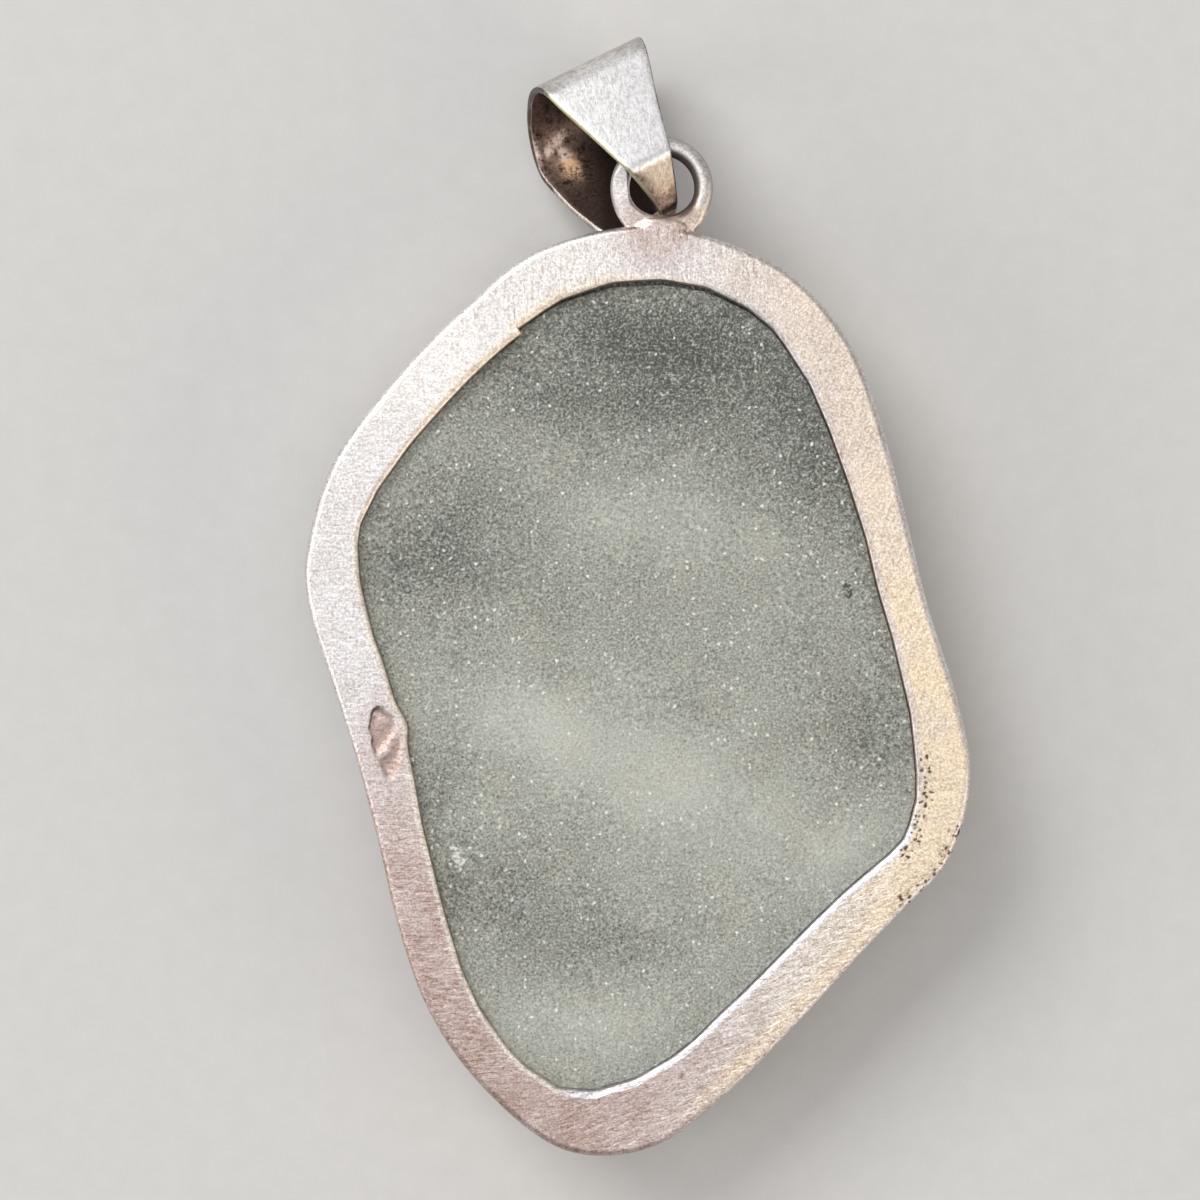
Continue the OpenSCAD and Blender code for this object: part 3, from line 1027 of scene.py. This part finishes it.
# Inner side of the ring: tarnish and painted shade, darker on the right.
ring_inside_tarnish_and_shade = soft_step(2.20, 1.66, from_ring) * (0.25 + 0.75 * soft_step(-1.2, 1.2, from_ring_x))
ring_inside_tarnish_and_shade *= (1 - 0.6 * ring_foot) * (from_ring > 1.4)
ring_outside = 0.55 * soft_step(2.34, 2.52, from_ring) * soft_step(2.8, 2.5, from_ring)
ring_outside *= soft_step(18.9, 19.6, y) * (1 - ring_foot)
dark = np.maximum(0.28 * marks, mark_wall_shadow) + low + pits + ring_inside_tarnish_and_shade + ring_outside + window_foot_shadow
paint(setting, "dark", np.clip(dark, 0, 1))
print(f"dark: {np.mean(dark > 0.5):.0%} of the points")

# %% [markdown]
# The file strokes change direction round the rim, as the hand that held the file did. Four masks with soft
# borders tell the silver's material how strong each direction is at each place.

# %% Paint the stroke directions, then finish the setting
CREASE_ANGLE = math.radians(38)

slanting = soft_step(8, 12, x) * soft_step(-9, -5, y)
along = soft_step(-9, -15, y) * soft_step(-6, -1, x)
upright = soft_step(11, 15, y) * (1 - slanting)
paint(setting, "strokes_slanting", slanting)
paint(setting, "strokes_along", along * (1 - slanting) * 1.5)
paint(setting, "strokes_upright", upright * soft_step(19.1, 18.5, y))
paint(setting, "strokes_across", (1 - slanting) * (1 - along) * (1 - upright) * (1 + 0.9 * foot))
setting.data.shade_smooth()
setting.data.set_sharp_from_angle(angle=CREASE_ANGLE)
print("setting painted:", [a.name for a in setting.data.attributes if a.data_type == "FLOAT"])
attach(setting, "root")
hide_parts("setting")

# %% [markdown]
# ## Sea glass
#
# Years in the surf grind glass to a frosted skin of tiny crescent-shaped chips over a soft grey-green body.
# The skin scatters light, so the glass looks cloudy where it is thick and deeper where it is thin, and single
# chips glint. The recipe mixes a deep and a hazy green by a painted haze, which also holds painted light and
# shade over the swells of the back and a painted shade in the gap beside the plate. A rough noise gives the
# grain, the thin borders inside a second noise, broken up by a third, give the short crescents, and the stroke
# noise of the silver, much shorter, gives slanting flecks. All are stronger where the glass is deep. In a
# pattern of random cells, a few rare ones are painted white as glints.

# %% The frosted glass material
DEEP_GREEN = (0.045, 0.047, 0.041, 1)
HAZY_GREEN = (0.57, 0.585, 0.52, 1)
HAZY_OLIVE = (0.572, 0.58, 0.495, 1)
CHIP_AND_GLINT_WHITE = (0.86, 0.87, 0.82, 1)
DARK_SPECK = (0.03, 0.035, 0.03, 1)
# Marks that the glass carries, in mm from the middle of the picture. Columns: x, y, length, width, turn
SPECK_MARK = (12.4, 0.45, 0.75, 0.55, -50)
CHIP_MARK = (-7.1, -12.95, 1.45, 0.60, 110)


def mark_mask(tree, x, y, length, width, turn):
    """1 on a ragged oval mark and 0 round it."""
    from_mark = place_in_mm(tree, (*in_picture(x, y), 0), turn, (length / 2, width / 2, 1000))
    away = vector_maths("LENGTH", {0: from_mark}, "Value")
    ragged = swing(cloud(place_in_mm(tree), 5.0, detail=3.0), -0.6, 0.8)
    return ramp(plus(away, ragged), 1.1, 0.4)


def thin_curves(place, per_mm, width):
    """Short curved lines: the borders between high and low in a noise, broken up by a second noise."""
    hills = cloud(place, per_mm, detail=2.0, roughness=0.6)
    from_border = maths("ABSOLUTE", minus(hills, 0.5))
    broken = ramp(cloud(place, 3.1, detail=1.0), 0.48, 0.58)
    return times(ramp(from_border, width, 0.0), broken)


def rare_glints(place, frost):
    """1 in a few small ragged spots, each in a rare cell of a pattern of random cells."""
    cells = onto("ShaderNodeTexVoronoi", {"Vector": place, "Scale": 3.2})
    rare = onto("ShaderNodeSeparateColor", {0: cells["Color"]})[0]
    uneven = plus(cells["Distance"], swing(frost, 0.12, -0.12))
    return times(ramp(rare, 0.74, 0.96), ramp(uneven, 0.34, 0.12))


def frosted_glass():
    material, tree = new_material("frosted_glass")
    place = place_in_mm(tree)
    haze_and_shade = painted(tree, "haze_and_shade")
    frost = cloud(place, 7.5, detail=4.0, roughness=0.80)
    drift = cloud(place, 0.30, detail=4.0)
    crescents = thin_curves(place, 2.3, 0.022)
    flecks = ramp(strokes(tree, 52, length=0.34), 0.57, 0.75)
    contrast = ramp(haze_and_shade, 0.1, 0.9, 1.0, 0.6)
    pepper = plus(ramp(frost, 0.50, 0.66, 0.0, 0.70), ramp(frost, 0.48, 0.34, 0.0, -0.50))
    salt = plus(*(times(mask, times(contrast, 0.45)) for mask in (crescents, flecks)))
    cloudy_and_shaded = plus(haze_and_shade, swing(drift, -0.05, 0.05))
    cloudy_and_shaded = plus(cloudy_and_shaded, plus(salt, times(pepper, contrast)))
    tint = mixed(ramp(cloud(place, 0.35, detail=3.0), 0.35, 0.70), HAZY_GREEN, HAZY_OLIVE)
    colour = mixed(cloudy_and_shaded, DEEP_GREEN, tint)
    # Painted glints: rare cells are painted white.
    colour = mixed(times(rare_glints(place, frost), 0.85), colour, CHIP_AND_GLINT_WHITE)
    colour = mixed(times(mark_mask(tree, *CHIP_MARK), 0.7), colour, CHIP_AND_GLINT_WHITE)
    colour = mixed(times(mark_mask(tree, *SPECK_MARK), 0.9), colour, DARK_SPECK)
    return shaded(material, {
        "Base Color": colour, "Roughness": 0.50, "IOR": 1.5,
        "Subsurface Weight": 0.12, "Subsurface Radius": (1.0, 1.2, 0.9), "Subsurface Scale": 0.5 * MM,
        "Normal": bumped(plus(frost, times(crescents, 0.3)), 0.045),
    })


frosted = frosted_glass()
print("glass material:", len(frosted.node_tree.nodes), "nodes")

# %% [markdown]
# The lump is a lens: domed in front, where it lies on the table, straight at the girdle under the bezel, and
# nearly flat at the back, where it stands up a little into the window. Its outline is read from the packed
# glass. The rings of the lens shrink towards one point, and the back gets the most rings, because the long
# swells that the sea wore into it are what the light plays on. The swells are a short table: each is a soft
# ridge or hollow at one place.

# %% Sizes of the lens
SHOULDER_HEIGHT = 5.73 * MM
GLASS_CENTRE = in_picture(1.6, -4.4)
GLASS_POINTS_A_SPAN = 8
SHOULDER_RADIUS = 0.45 * MM
SHOULDER_RINGS = 6
UNDER_PLATE_RINGS = 4
BACK_RINGS = 72
DOME_POWER = 2.2
LENS_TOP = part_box("sea_glass")[1].z
PRESSED_UP = 0.33 * MM
# Rings where the glass rises into the window, in mm inside the line of the rise
LIP = (-0.10, -0.02, 0.0, 0.02, 0.05, 0.10, 0.18, 0.28, 0.42)
LIP_WIDTH = 0.03

# Front of the lens, in mm. Columns: share of the outline, inset from it, height
FRONT = [
    (0.10, 0, 0), (0.30, 0, 0), (0.40, 0, 0), (0.52, 0, 0.36), (0.64, 0, 0.62), (0.76, 0, 0.96),
    (0.87, 0, 1.32), (0.95, 0, 1.74), (0.98, 0.06, 2.1), (0.985, 0.10, 2.5), (0.995, 0.06, 2.85),
    (1.0, 0, 3.2), (1.0, 0, 4.5), (1.0, 0, 5.5),
]
# Swells of the back, in mm from the middle of the picture. Columns: x, y, length, width, turn, height, haze
# with the swell's painted light and shade
SWELLS = [
    (3.6, 12.6, 17.5, 9.2, -4, -0.10, -0.42),
    (-6.3, 12.2, 5.0, 2.6, 45, 0.00, -0.13),
    (-2.6, 9.8, 9.0, 3.0, -5, 0.00, -0.08),
    (13.7, 1.6, 11.0, 2.2, -78, -0.02, -0.20),
    (10.8, 7.0, 8.0, 5.0, -65, -0.06, -0.24),
    (3.5, 3.8, 11.0, 4.4, -14, 0.10, 0.14),
    (-8.2, 2.6, 9.0, 6.4, 40, -0.10, -0.27),
    (-0.5, -0.3, 9.0, 4.0, -5, -0.05, -0.07),
    (-3.0, -6.2, 11.0, 4.4, -10, 0.08, 0.22),
    (4.0, -9.5, 13.0, 4.6, -14, 0.12, 0.26),
    (13.4, -6.8, 7.0, 4.5, -80, -0.08, -0.22),
    (12.5, -12.2, 7.0, 3.5, 35, 0.03, 0.22),
    (-8.3, -9.6, 7.0, 3.2, 75, -0.06, -0.14),
    (-5.2, -14.8, 8.0, 4.6, -10, -0.12, -0.20),
    (0.0, -17.2, 8.0, 3.0, -10, -0.05, -0.08),
    (5.0, -13.0, 9.0, 4.0, -10, 0.03, 0.08),
    (-0.3, -21.6, 11.5, 4.0, 3, 0.10, 0.18),
]


# %% Grind the lens
glass_line = smooth_through(lines_at("sea_glass", SHOULDER_HEIGHT)[0], GLASS_POINTS_A_SPAN)
glass_sides = inward(glass_line)


def glass_ring(share, inset, height):
    return ring_at(between(GLASS_CENTRE, glass_line + glass_sides * inset, share), height)


def border_on_rays(flat):
    """On the ray from the centre through each place: how far off the window's border is, and the gap."""
    rays = lower_border - GLASS_CENTRE
    angles = np.arctan2(rays[:, 1], rays[:, 0])
    order = np.argsort(angles)
    away = flat - GLASS_CENTRE
    turned = np.arctan2(away[:, 1], away[:, 0])
    columns = np.linalg.norm(rays, axis=1), shaded_gap
    return [np.interp(turned, angles[order], column[order], period=math.tau) for column in columns]


front_rows = open_curve([FRONT[0], *FRONT, FRONT[-1]], 3)
glass_rings = [glass_ring(share, inset * MM, height * MM) for share, inset, height in front_rows]
for s in range(1, SHOULDER_RINGS + 1):
    t = math.pi / 2 * s / SHOULDER_RINGS
    inset, rise = SHOULDER_RADIUS * (1 - math.cos(t)), SHOULDER_RADIUS * math.sin(t)
    glass_rings.append(glass_ring(1.0, inset, SHOULDER_HEIGHT + 0.04 * MM + rise))
shoulder, shoulder_height = glass_rings[-1][:, :2], glass_rings[-1][0, 2]
reach = np.linalg.norm(shoulder - GLASS_CENTRE, axis=1)
border_reach, border_gap = border_on_rays(shoulder)
lip_reach = border_reach - border_gap
lip_reaches = [lip_reach - inside * MM for inside in LIP]
back_reaches = [between(reach, lip_reaches[0], s / UNDER_PLATE_RINGS) for s in range(1, UNDER_PLATE_RINGS)]
back_reaches += lip_reaches
back_reaches += [lip_reaches[-1] * (1 - s / BACK_RINGS) for s in range(1, BACK_RINGS)]
for back_reach in back_reaches:
    share = back_reach / reach
    dome = shoulder_height + (LENS_TOP - shoulder_height) * (1 - share**DOME_POWER)
    rise = PRESSED_UP * soft_step(-LIP_WIDTH * MM, LIP_WIDTH * MM, lip_reach - back_reach)
    glass_rings.append(ring_at(between(GLASS_CENTRE, shoulder, share[:, None]), dome + rise))
lens_points = np.concatenate(glass_rings)
lens_faces = faces_between(len(glass_rings), len(glass_line), closed=False)
last_ring = len(lens_points) - len(glass_line)
lens_faces += [tuple(range(len(glass_line)))[::-1], tuple(range(last_ring, len(lens_points)))]
glass = piece_from("sea_glass_worn", lens_points, lens_faces, frosted)
print(f"lens: {len(lens_points)} points, {LENS_TOP / MM:.2f} mm thick")

# %% [markdown]
# ## Wear of the glass
#
# Swells from the table shape the back. On top of them the surf left a finer unevenness that follows no table
# at all, only a rule, so a small Geometry Nodes tree adds it: two sizes of noise push the surface along its
# normal, and both fade where the glass goes under the plate.

# %% The tree that wears the surface
def sea_worn():
    tree, given = new_geometry_tree(
        "sea_worn", Dimple_depth="size", Dimples_per_mm="size", Ripple_depth="size", Ripples_per_mm="size",
        Glass="metal")
    position = add(tree, "GeometryNodeInputPosition")[0]
    pushes = []
    for depth, size in (("Dimple depth", "Dimples per mm"), ("Ripple depth", "Ripples per mm")):
        bumps = add(tree, "ShaderNodeTexNoise", {
            "Vector": position, "Scale": times(given[size], 1 / MM), "Detail": 1.5,
        })["Fac"]
        pushes.append(times(minus(bumps, 0.5), given[depth]))
    push = times(plus(*pushes), painted_on_mesh(tree, "bare"))
    normal = add(tree, "GeometryNodeInputNormal")[0]
    offset = vector_maths("SCALE", {0: normal, "Scale": push})
    return finish_tree(moved(given["Geometry"], Offset=offset), given["Glass"])


# %% Wear the glass
BASE_HAZE = 0.49
CREVICE_SHADE_HAZE = 0.08


def shape_back(piece):
    """Presses the swells into the back, and paints its haze, with the swells' painted light and shade and a
    painted shade beside the plate, and its bareness.
    """
    places = points_of(piece)
    back = places[:, 2] > SHOULDER_HEIGHT
    border, gap = border_on_rays(places[:, :2])
    away = np.linalg.norm(places[:, :2] - GLASS_CENTRE, axis=1)
    bare = soft_step(0.99, 0.90, away / border)
    haze_and_shade = np.full(len(places), BASE_HAZE)
    # Each swell also paints its own light and shade into the haze.
    for *oval, height, cloudy_and_shaded in SWELLS:
        bell = swell(places, *oval)
        places[back, 2] += height * MM * (bell * bare)[back]
        haze_and_shade += cloudy_and_shaded * bell * back
    # Painted shade in the gap beside the plate: the haze falls to a dark value there.
    unshaded = np.where(back, soft_step(-0.04, 0.0, (border - gap - away) / MM), 1)
    piece.data.vertices.foreach_set("co", places.astype(np.float32).ravel())
    paint(piece, "haze_and_shade", CREVICE_SHADE_HAZE + (np.clip(haze_and_shade, 0, 1) - CREVICE_SHADE_HAZE) * unshaded)
    rounded_front = soft_step(0.25 * MM, 0.7 * MM, places[:, 2]) * (places[:, 2] < 2.4 * MM)
    paint(piece, "bare", np.where(back, bare, rounded_front))


shape_back(glass)
grown(glass, sea_worn(), Dimple_depth=0.10 * MM, Dimples_per_mm=0.45, Ripple_depth=0.05 * MM,
      Ripples_per_mm=1.6, Glass=frosted)
glass.data.shade_smooth()
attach(glass, "root")
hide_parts("sea_glass")

# %% [markdown]
# ## The bail
#
# The bail is a tapered strip of sheet, folded round a rod so that its two legs meet on the jump ring. Seen
# from its side the fold is an oval end, two straight legs, a crease, and a pinch to the tip. The strip is
# described station by station along one half: where its inner and outer face are, and how far it reaches to
# each side. The other half mirrors it. Each station becomes a ring of points round the strip's own thin
# section, whose cut edges are slightly rounded, and the chain of stations closes on itself, as the folded
# sheet does. Outside the silver is bright, with painted shade on the round end and past the crease; inside,
# where no cloth reaches, a glossy brown tarnish has grown, with a painted golden reflection and painted pink
# highlights on it.

# %% Silver of the bail
BAIL_SILVER = (0.97, 0.95, 0.945, 1)
BEND_SHADE_GREY = (0.30, 0.25, 0.21, 1)
AGED_AND_SHADED_BROWN = (0.11, 0.080, 0.066, 1)
TAN_TARNISH_AND_SHADE = (0.43, 0.365, 0.295, 1)
OLIVE_EDGE = (0.62, 0.60, 0.36, 1)
LIGHT_BROWN = (0.40, 0.265, 0.21, 1)
DEEP_BROWN = (0.030, 0.019, 0.015, 1)
GOLD_REFLECTION = (0.95, 0.60, 0.36, 1)
PINK_HIGHLIGHT = (1.0, 0.76, 0.66, 1)

# The outside's masks mix tarnish on the cut edges with painted shade on the bend and past the crease.
# Columns: painted mask, colour, most of it
OUTSIDE_TARNISH_AND_SHADE = [
    ("bend_shade", BEND_SHADE_GREY, 0.54), ("tan", TAN_TARNISH_AND_SHADE, 0.95), ("olive", OLIVE_EDGE, 0.9),
    ("brown_and_tip_shade", LIGHT_BROWN, 0.95), ("aged_and_shaded", AGED_AND_SHADED_BROWN, 0.95),
]


def ragged_mask(tree, name, uneven):
    """A painted mask whose borders are broken up by a noise."""
    mask = painted(tree, name)
    return plus(mask, times(uneven, mask))


def bail_silver():
    material, tree = new_material("bail_silver")
    place = place_in_mm(tree)
    grain = cloud(place, 6.0, detail=4.0, roughness=0.70)
    blotch = cloud(place, 1.6, detail=5.0, roughness=0.72)
    filed = strokes(tree, 94, length=0.9)
    uneven = swing(blotch, -0.35, 0.35)
    tone = plus(swing(grain, 0.82, 1.10), swing(filed, -0.17, 0.12))
    grey = onto("ShaderNodeCombineColor", {0: tone, 1: tone, 2: tone})[0]
    colour = BAIL_SILVER
    for name, tarnish, most in OUTSIDE_TARNISH_AND_SHADE:
        mask = ramp(ragged_mask(tree, name, uneven), 0.1, 0.9, 0.0, most)
        colour = mixed(mask, colour, tarnish)
    colour = mixed(1.0, colour, grey, blend="MULTIPLY")
    mottled = plus(swing(blotch, 0.10, 1.0), swing(grain, -0.30, 0.30))
    lining = mixed(mottled, DEEP_BROWN, LIGHT_BROWN)
    shadowed = plus(painted(tree, "lining_shade"), swing(blotch, -0.12, 0.12))
    lining = mixed(ramp(shadowed, 0.0, 1.0, 0.0, 0.98), lining, DEEP_BROWN)
    weak = plus(swing(blotch, -0.6, 0.5), swing(grain, -0.5, 0.4))
    # Painted golden reflection and pink highlights on the lining.
    for name, patch in (("gold", GOLD_REFLECTION), ("blush", PINK_HIGHLIGHT)):
        lining = mixed(ramp(ragged_mask(tree, name, weak), 0.05, 1.0), lining, patch)
    inside = painted(tree, "inside")
    lit = times(plus(painted(tree, "blush"), painted(tree, "gold")), 0.35)
    return shaded(material, {
        "Base Color": mixed(inside, colour, lining),
        "Metallic": minus(ramp(inside, 0.0, 1.0, 1.0, 0.35), lit),
        "Roughness": ramp(inside, 0.0, 1.0, 0.42, 0.26), "Specular IOR Level": 0.22,
        "Normal": bumped(plus(times(grain, 0.6), filed), 0.016),
    })


bail_metal = bail_silver()
print("bail's silver:", len(bail_metal.node_tree.nodes), "nodes")


# %% Sizes of the bail
LOOP_HALF_GAP = 3.40 * MM
LOOP_DEPTH = 2.32 * MM
SHEET = 0.36 * MM
CREASE_DEPTH = 5.25
BAIL_OFFSET = Vector((-3.22, 4.15, -2.92)) * MM
# Turns about the strip's width, the cross direction and the upright, in that order
BAIL_TURNS = (math.radians(-22), math.radians(14.5), math.radians(34))
BEND_STEPS = 40
STATION_SPACING = 0.12 * MM
FACE_COLUMNS = 18
CROWN = 0.02 * MM

# Round end, in mm. Columns: reach to the left, reach to the right, lean to the right, extra reach of the
# lower leg
BEND_START = (2.85, 3.95, 0.0, 0.0)
BEND_END = (2.95, 2.75, 0.2, 0.2)

# The legs below the bend, in mm. Columns: half gap and depth of the outer face, half gap and depth of the
# inner face, then the four columns of the round end
LEG = [
    (3.15, 2.55, 2.80, 2.55, 2.45, 1.60, 0.34, 0.35),
    (2.77, CREASE_DEPTH, 2.43, 5.10, 1.70, 0.80, 0.25, 0.65),
    (1.40, 6.30, 0.98, 6.15, 0.90, 0.65, 0.12, 0.15),
    (0.50, 6.90, 0.25, 6.42, 0.55, 0.52, 0.05, 0.00),
    (0.00, 6.95, 0.00, 6.50, 0.45, 0.50, 0.00, 0.00),
]
# How often each group of columns is eased along the stations: the faces keep their folds, the reaches flow
EASING = ((36, slice(4, 8)), (3, slice(0, 4)))

# The cut edge of the sheet. Columns: share of the thickness from the outer face, rounding in mm
CUT_EDGE = np.array([(0, 0.12), (0.05, 0.05), (0.16, 0.01), (0.38, 0), (0.66, 0), (0.87, 0.03), (1, 0.12)])


# %% Fold the bail
def half_fold():
    """Stations from the round end to the tip: half gap and height of both faces, then the reaches."""
    outer, inner = (np.array((LOOP_HALF_GAP, LOOP_DEPTH)) - sheet for sheet in (0, SHEET))
    stations = []
    for share in np.arange(BEND_STEPS + 1) / BEND_STEPS:
        bend = np.array((math.sin(math.pi / 2 * share), math.cos(math.pi / 2 * share)))
        reaches = np.array(BEND_START) * (1 - share) + np.array(BEND_END) * share
        stations.append(np.concatenate([outer * bend, inner * bend, reaches * MM]))
    for row in LEG:
        above = stations[-1]
        below = np.array(row) * MM * np.array((1, -1, 1, -1, 1, 1, 1, 1))
        steps = max(1, round(np.linalg.norm(below[:2] - above[:2]) / STATION_SPACING))
        stations += [between(above, below, s / steps) for s in range(1, steps + 1)]
    stations = np.array(stations)
    for passes, columns in EASING:
        for _ in range(passes):
            kept = stations[:, columns]
            stations[1:-1, columns] = (kept[:-2] + 2 * kept[1:-1] + kept[2:]) / 4
    return stations


def station_ring(station, side):
    """Points round the strip's own section: outer face, right edge, inner face, left edge."""
    outer_gap, outer_height, inner_gap, inner_height, left, right, lean, low_left = station
    left_end = side * lean - left - low_left * (side < 0)
    right_end = side * lean + right
    shares = np.linspace(0, 1, FACE_COLUMNS)
    (_, outer_round), (_, inner_round) = CUT_EDGE[0] * MM, CUT_EDGE[-1] * MM
    through, rounding = CUT_EDGE[1:-1, 0], CUT_EDGE[1:-1, 1] * MM
    width = np.concatenate([
        between(left_end + outer_round, right_end - outer_round, shares), right_end - rounding,
        between(right_end - inner_round, left_end + inner_round, shares), (left_end + rounding)[::-1]])
    depth = np.concatenate([np.zeros(FACE_COLUMNS), through, np.ones(FACE_COLUMNS), through[::-1]])
    middle = (width - left_end) / (right_end - left_end) * 2 - 1
    crown = CROWN * (1 - middle**2) * outer_gap / LOOP_HALF_GAP
    gap = between(outer_gap, inner_gap, depth) + crown
    return np.column_stack([width, between(outer_height, inner_height, depth), side * gap])


half = half_fold()
fold = np.array([station_ring(s, 1) for s in half] + [station_ring(s, -1) for s in half[-2:0:-1]])
stations, ring_size = fold.shape[:2]
turn = np.array(Euler(BAIL_TURNS, "YXZ").to_matrix())
bail_points = fold.reshape(-1, 3) @ turn.T + np.array(RING_CENTRE + BAIL_OFFSET)
bail = piece_from("bail_silver", bail_points, faces_between(stations, ring_size, closed=True), bail_metal)
print(f"bail: {stations} stations of {ring_size} points")

# %% [markdown]
# The tones of the bail follow its folds. The round end is greyed by painted shade, where the sheet turns away
# from the light, and past the crease painted shade turns the pinch tan and then brown towards the tip and on
# its left. The cut edges carry tarnish: dark on the round end, on the back and on the right, tan and brown on
# the back, and olive on the left below the bend. Inside it is brown tarnish all over, with painted shade to
# the right and under the bend, and a painted golden reflection and painted pink highlights where light strikes
# through the fold. The painted lights and shades of the lining are placed as the camera sees them.

# %% Paint the outside of the bail
depth, front = -fold.reshape(-1, 3)[:, 1] / MM, fold.reshape(-1, 3)[:, 2] > 0
column = np.tile(np.arange(ring_size), stations)
lining_start = FACE_COLUMNS + len(CUT_EDGE) - 2
outer_side = column < FACE_COLUMNS
lining = (column >= lining_start) & (column < lining_start + FACE_COLUMNS)
left_cut = column >= lining_start + FACE_COLUMNS
cut = ~outer_side & ~lining
left_to_right = column / (FACE_COLUMNS - 1)
past_crease = soft_step(CREASE_DEPTH + 0.05, CREASE_DEPTH + 0.35, depth)
below_bend = soft_step(-1.2, 0.3, depth)

# Painted shade on the round end and beside its cut edges, where the sheet turns away from the light.
bend_shade = soft_step(0.3, -2.2, depth - 0.7 * (2 * left_to_right - 1) ** 2)
beside_cut = (column == 0) | (column == FACE_COLUMNS - 1)
bend_shade = np.maximum(bend_shade, 0.45 * beside_cut * soft_step(3.5, 0.0, depth))
# Painted shade past the crease: tan, then brown towards the tip and along the pinch's left; the cut edges keep
# their tarnish.
tan = past_crease * (1 - 0.6 * soft_step(6.1, 6.9, depth))
aged_cut = cut * np.maximum.reduce([1 - below_bend, ~front * soft_step(2.0, 0.3, depth), 0.6 * ~left_cut])
pinch_shade = np.maximum(0.75 * soft_step(0.5, 0.0, left_to_right), 0.6 * soft_step(5.9, 6.7, depth))
pinch_shade *= past_crease * outer_side * front
paint(bail, "bend_shade", bend_shade * outer_side)
paint(bail, "tan", np.maximum(tan, 0.75 * cut * ~front))
paint(bail, "olive", left_cut * front * below_bend)
paint(bail, "brown_and_tip_shade", np.maximum(0.3 * cut * ~front, 0.7 * soft_step(5.7, 6.8, depth)))
paint(bail, "aged_and_shaded", np.maximum(aged_cut, pinch_shade))
print(f"outside of the bail: {outer_side.mean():.0%} face, {cut.mean():.0%} cut edge")

# %% Paint the lining of the bail, then finish it
# Painted golden reflection and pink highlights on the lining, in mm from the middle of the picture. Columns:
# colour, x, y, length, width, turn
LINING_HIGHLIGHTS = [
    ("blush", -2.14, 22.94, 1.1, 0.55, 60), ("blush", -2.50, 22.45, 0.8, 0.5, 50),
    ("gold", -1.46, 21.67, 1.5, 0.95, -60), ("blush", -3.2, 22.45, 1.3, 0.24, -78),
    ("blush", -1.80, 22.30, 0.8, 0.5, -60),
]
LIGHTEST_LINING = (-2.4, 22.6, 3.6, 2.5, -52)

seen = seen_at(points_of(bail))
# Painted shade on the lining: to the right, under the bend, and away from its lightest place.
shaded_right = soft_step(-2.6, 1.2, (seen[:, 0] - PICTURE_MIDDLE[0]) / MM)
under_bend = 0.65 * soft_step(-1.2, -2.2, depth)
far_from_light = 0.75 * (1 - swell(seen, *LIGHTEST_LINING))
paint(bail, "inside", lining)
paint(bail, "lining_shade", np.maximum.reduce([shaded_right, under_bend, far_from_light]) * lining)
for colour in ("gold", "blush"):
    spots = [swell(seen, *patch[1:]) for patch in LINING_HIGHLIGHTS if patch[0] == colour]
    paint(bail, colour, np.max(spots, axis=0) * lining)
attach(bail, "root")
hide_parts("bail")
print("bail:", len(bail.data.polygons), "faces")

# %% [markdown]
# ## Table and light
#
# A plain pale table carries the piece. Silver shows what it mirrors, so the lights matter more than the
# metal's colour. One wide, soft window at the upper left gives the white sheen and the shadow to the lower
# right, and a broad dim light overhead fills the face of the plate. Three weak cards stand round the piece
# like sheets of paper: a warm one on the right for the filed edges that face it, one behind the top that the
# bail mirrors, and one low on the left for the dark left edges.

# %% Table
TABLE_SIZE = 0.9
TABLE_TONES = (0.55, 0.545, 0.53, 1), (0.60, 0.595, 0.58, 1)


def pale_table():
    material, tree = new_material("pale_table")
    fibres = cloud(place_in_mm(tree), 0.8, detail=4.0)
    return shaded(material, {"Base Color": mixed(fibres, *TABLE_TONES), "Roughness": 0.85})


CORNERS = ((-1, -1), (1, -1), (1, 1), (-1, 1))
table_corners = [(x * TABLE_SIZE / 2, y * TABLE_SIZE / 2, 0) for x, y in CORNERS]
table = piece_from("table", table_corners, [(0, 1, 2, 3)], pale_table())
print(f"table: {TABLE_SIZE:.1f} m wide, its top at Z = 0")

# %% Lights
# Columns: name, place in metres, size in metres, power in watts, colour
LIGHTS = [
    ("window", (-0.42, 0.48, 0.58), (0.46, 0.46), 4.6, (1.0, 0.985, 0.97)),
    ("overhead", (0.02, -0.03, 0.50), (0.46, 0.46), 0.62, (0.97, 0.98, 1.0)),
    ("warm_card", (0.38, -0.20, 0.18), (0.34, 0.26), 0.70, (1.0, 0.88, 0.74)),
    ("top_card", (0.09, 0.46, 0.36), (0.30, 0.20), 0.12, (1.0, 0.98, 0.97)),
    ("left_card", (-0.46, -0.08, 0.20), (0.30, 0.26), 0.80, (1.0, 0.96, 0.94)),
]
ROOM_COLOUR = (0.95, 0.97, 1.0, 1)
ROOM_LIGHT = 0.35

for name, place, size, power, colour in LIGHTS:
    light_data = bpy.data.lights.new(name, "AREA")
    light_data.shape = "RECTANGLE"
    light_data.size, light_data.size_y = size
    light_data.energy = power
    light_data.color = colour
    light = new_object(name, light_data)
    light.location = place
    light.rotation_euler = (-Vector(place)).to_track_quat("-Z", "Y").to_euler()

world = bpy.data.worlds.new("studio")
world.use_nodes = True
room = world.node_tree.nodes["Background"].inputs
room["Color"].default_value = ROOM_COLOUR
room["Strength"].default_value = ROOM_LIGHT
bpy.context.scene.world = world
bpy.context.scene.view_settings.view_transform = "Standard"
print("lights:", [row[0] for row in LIGHTS])
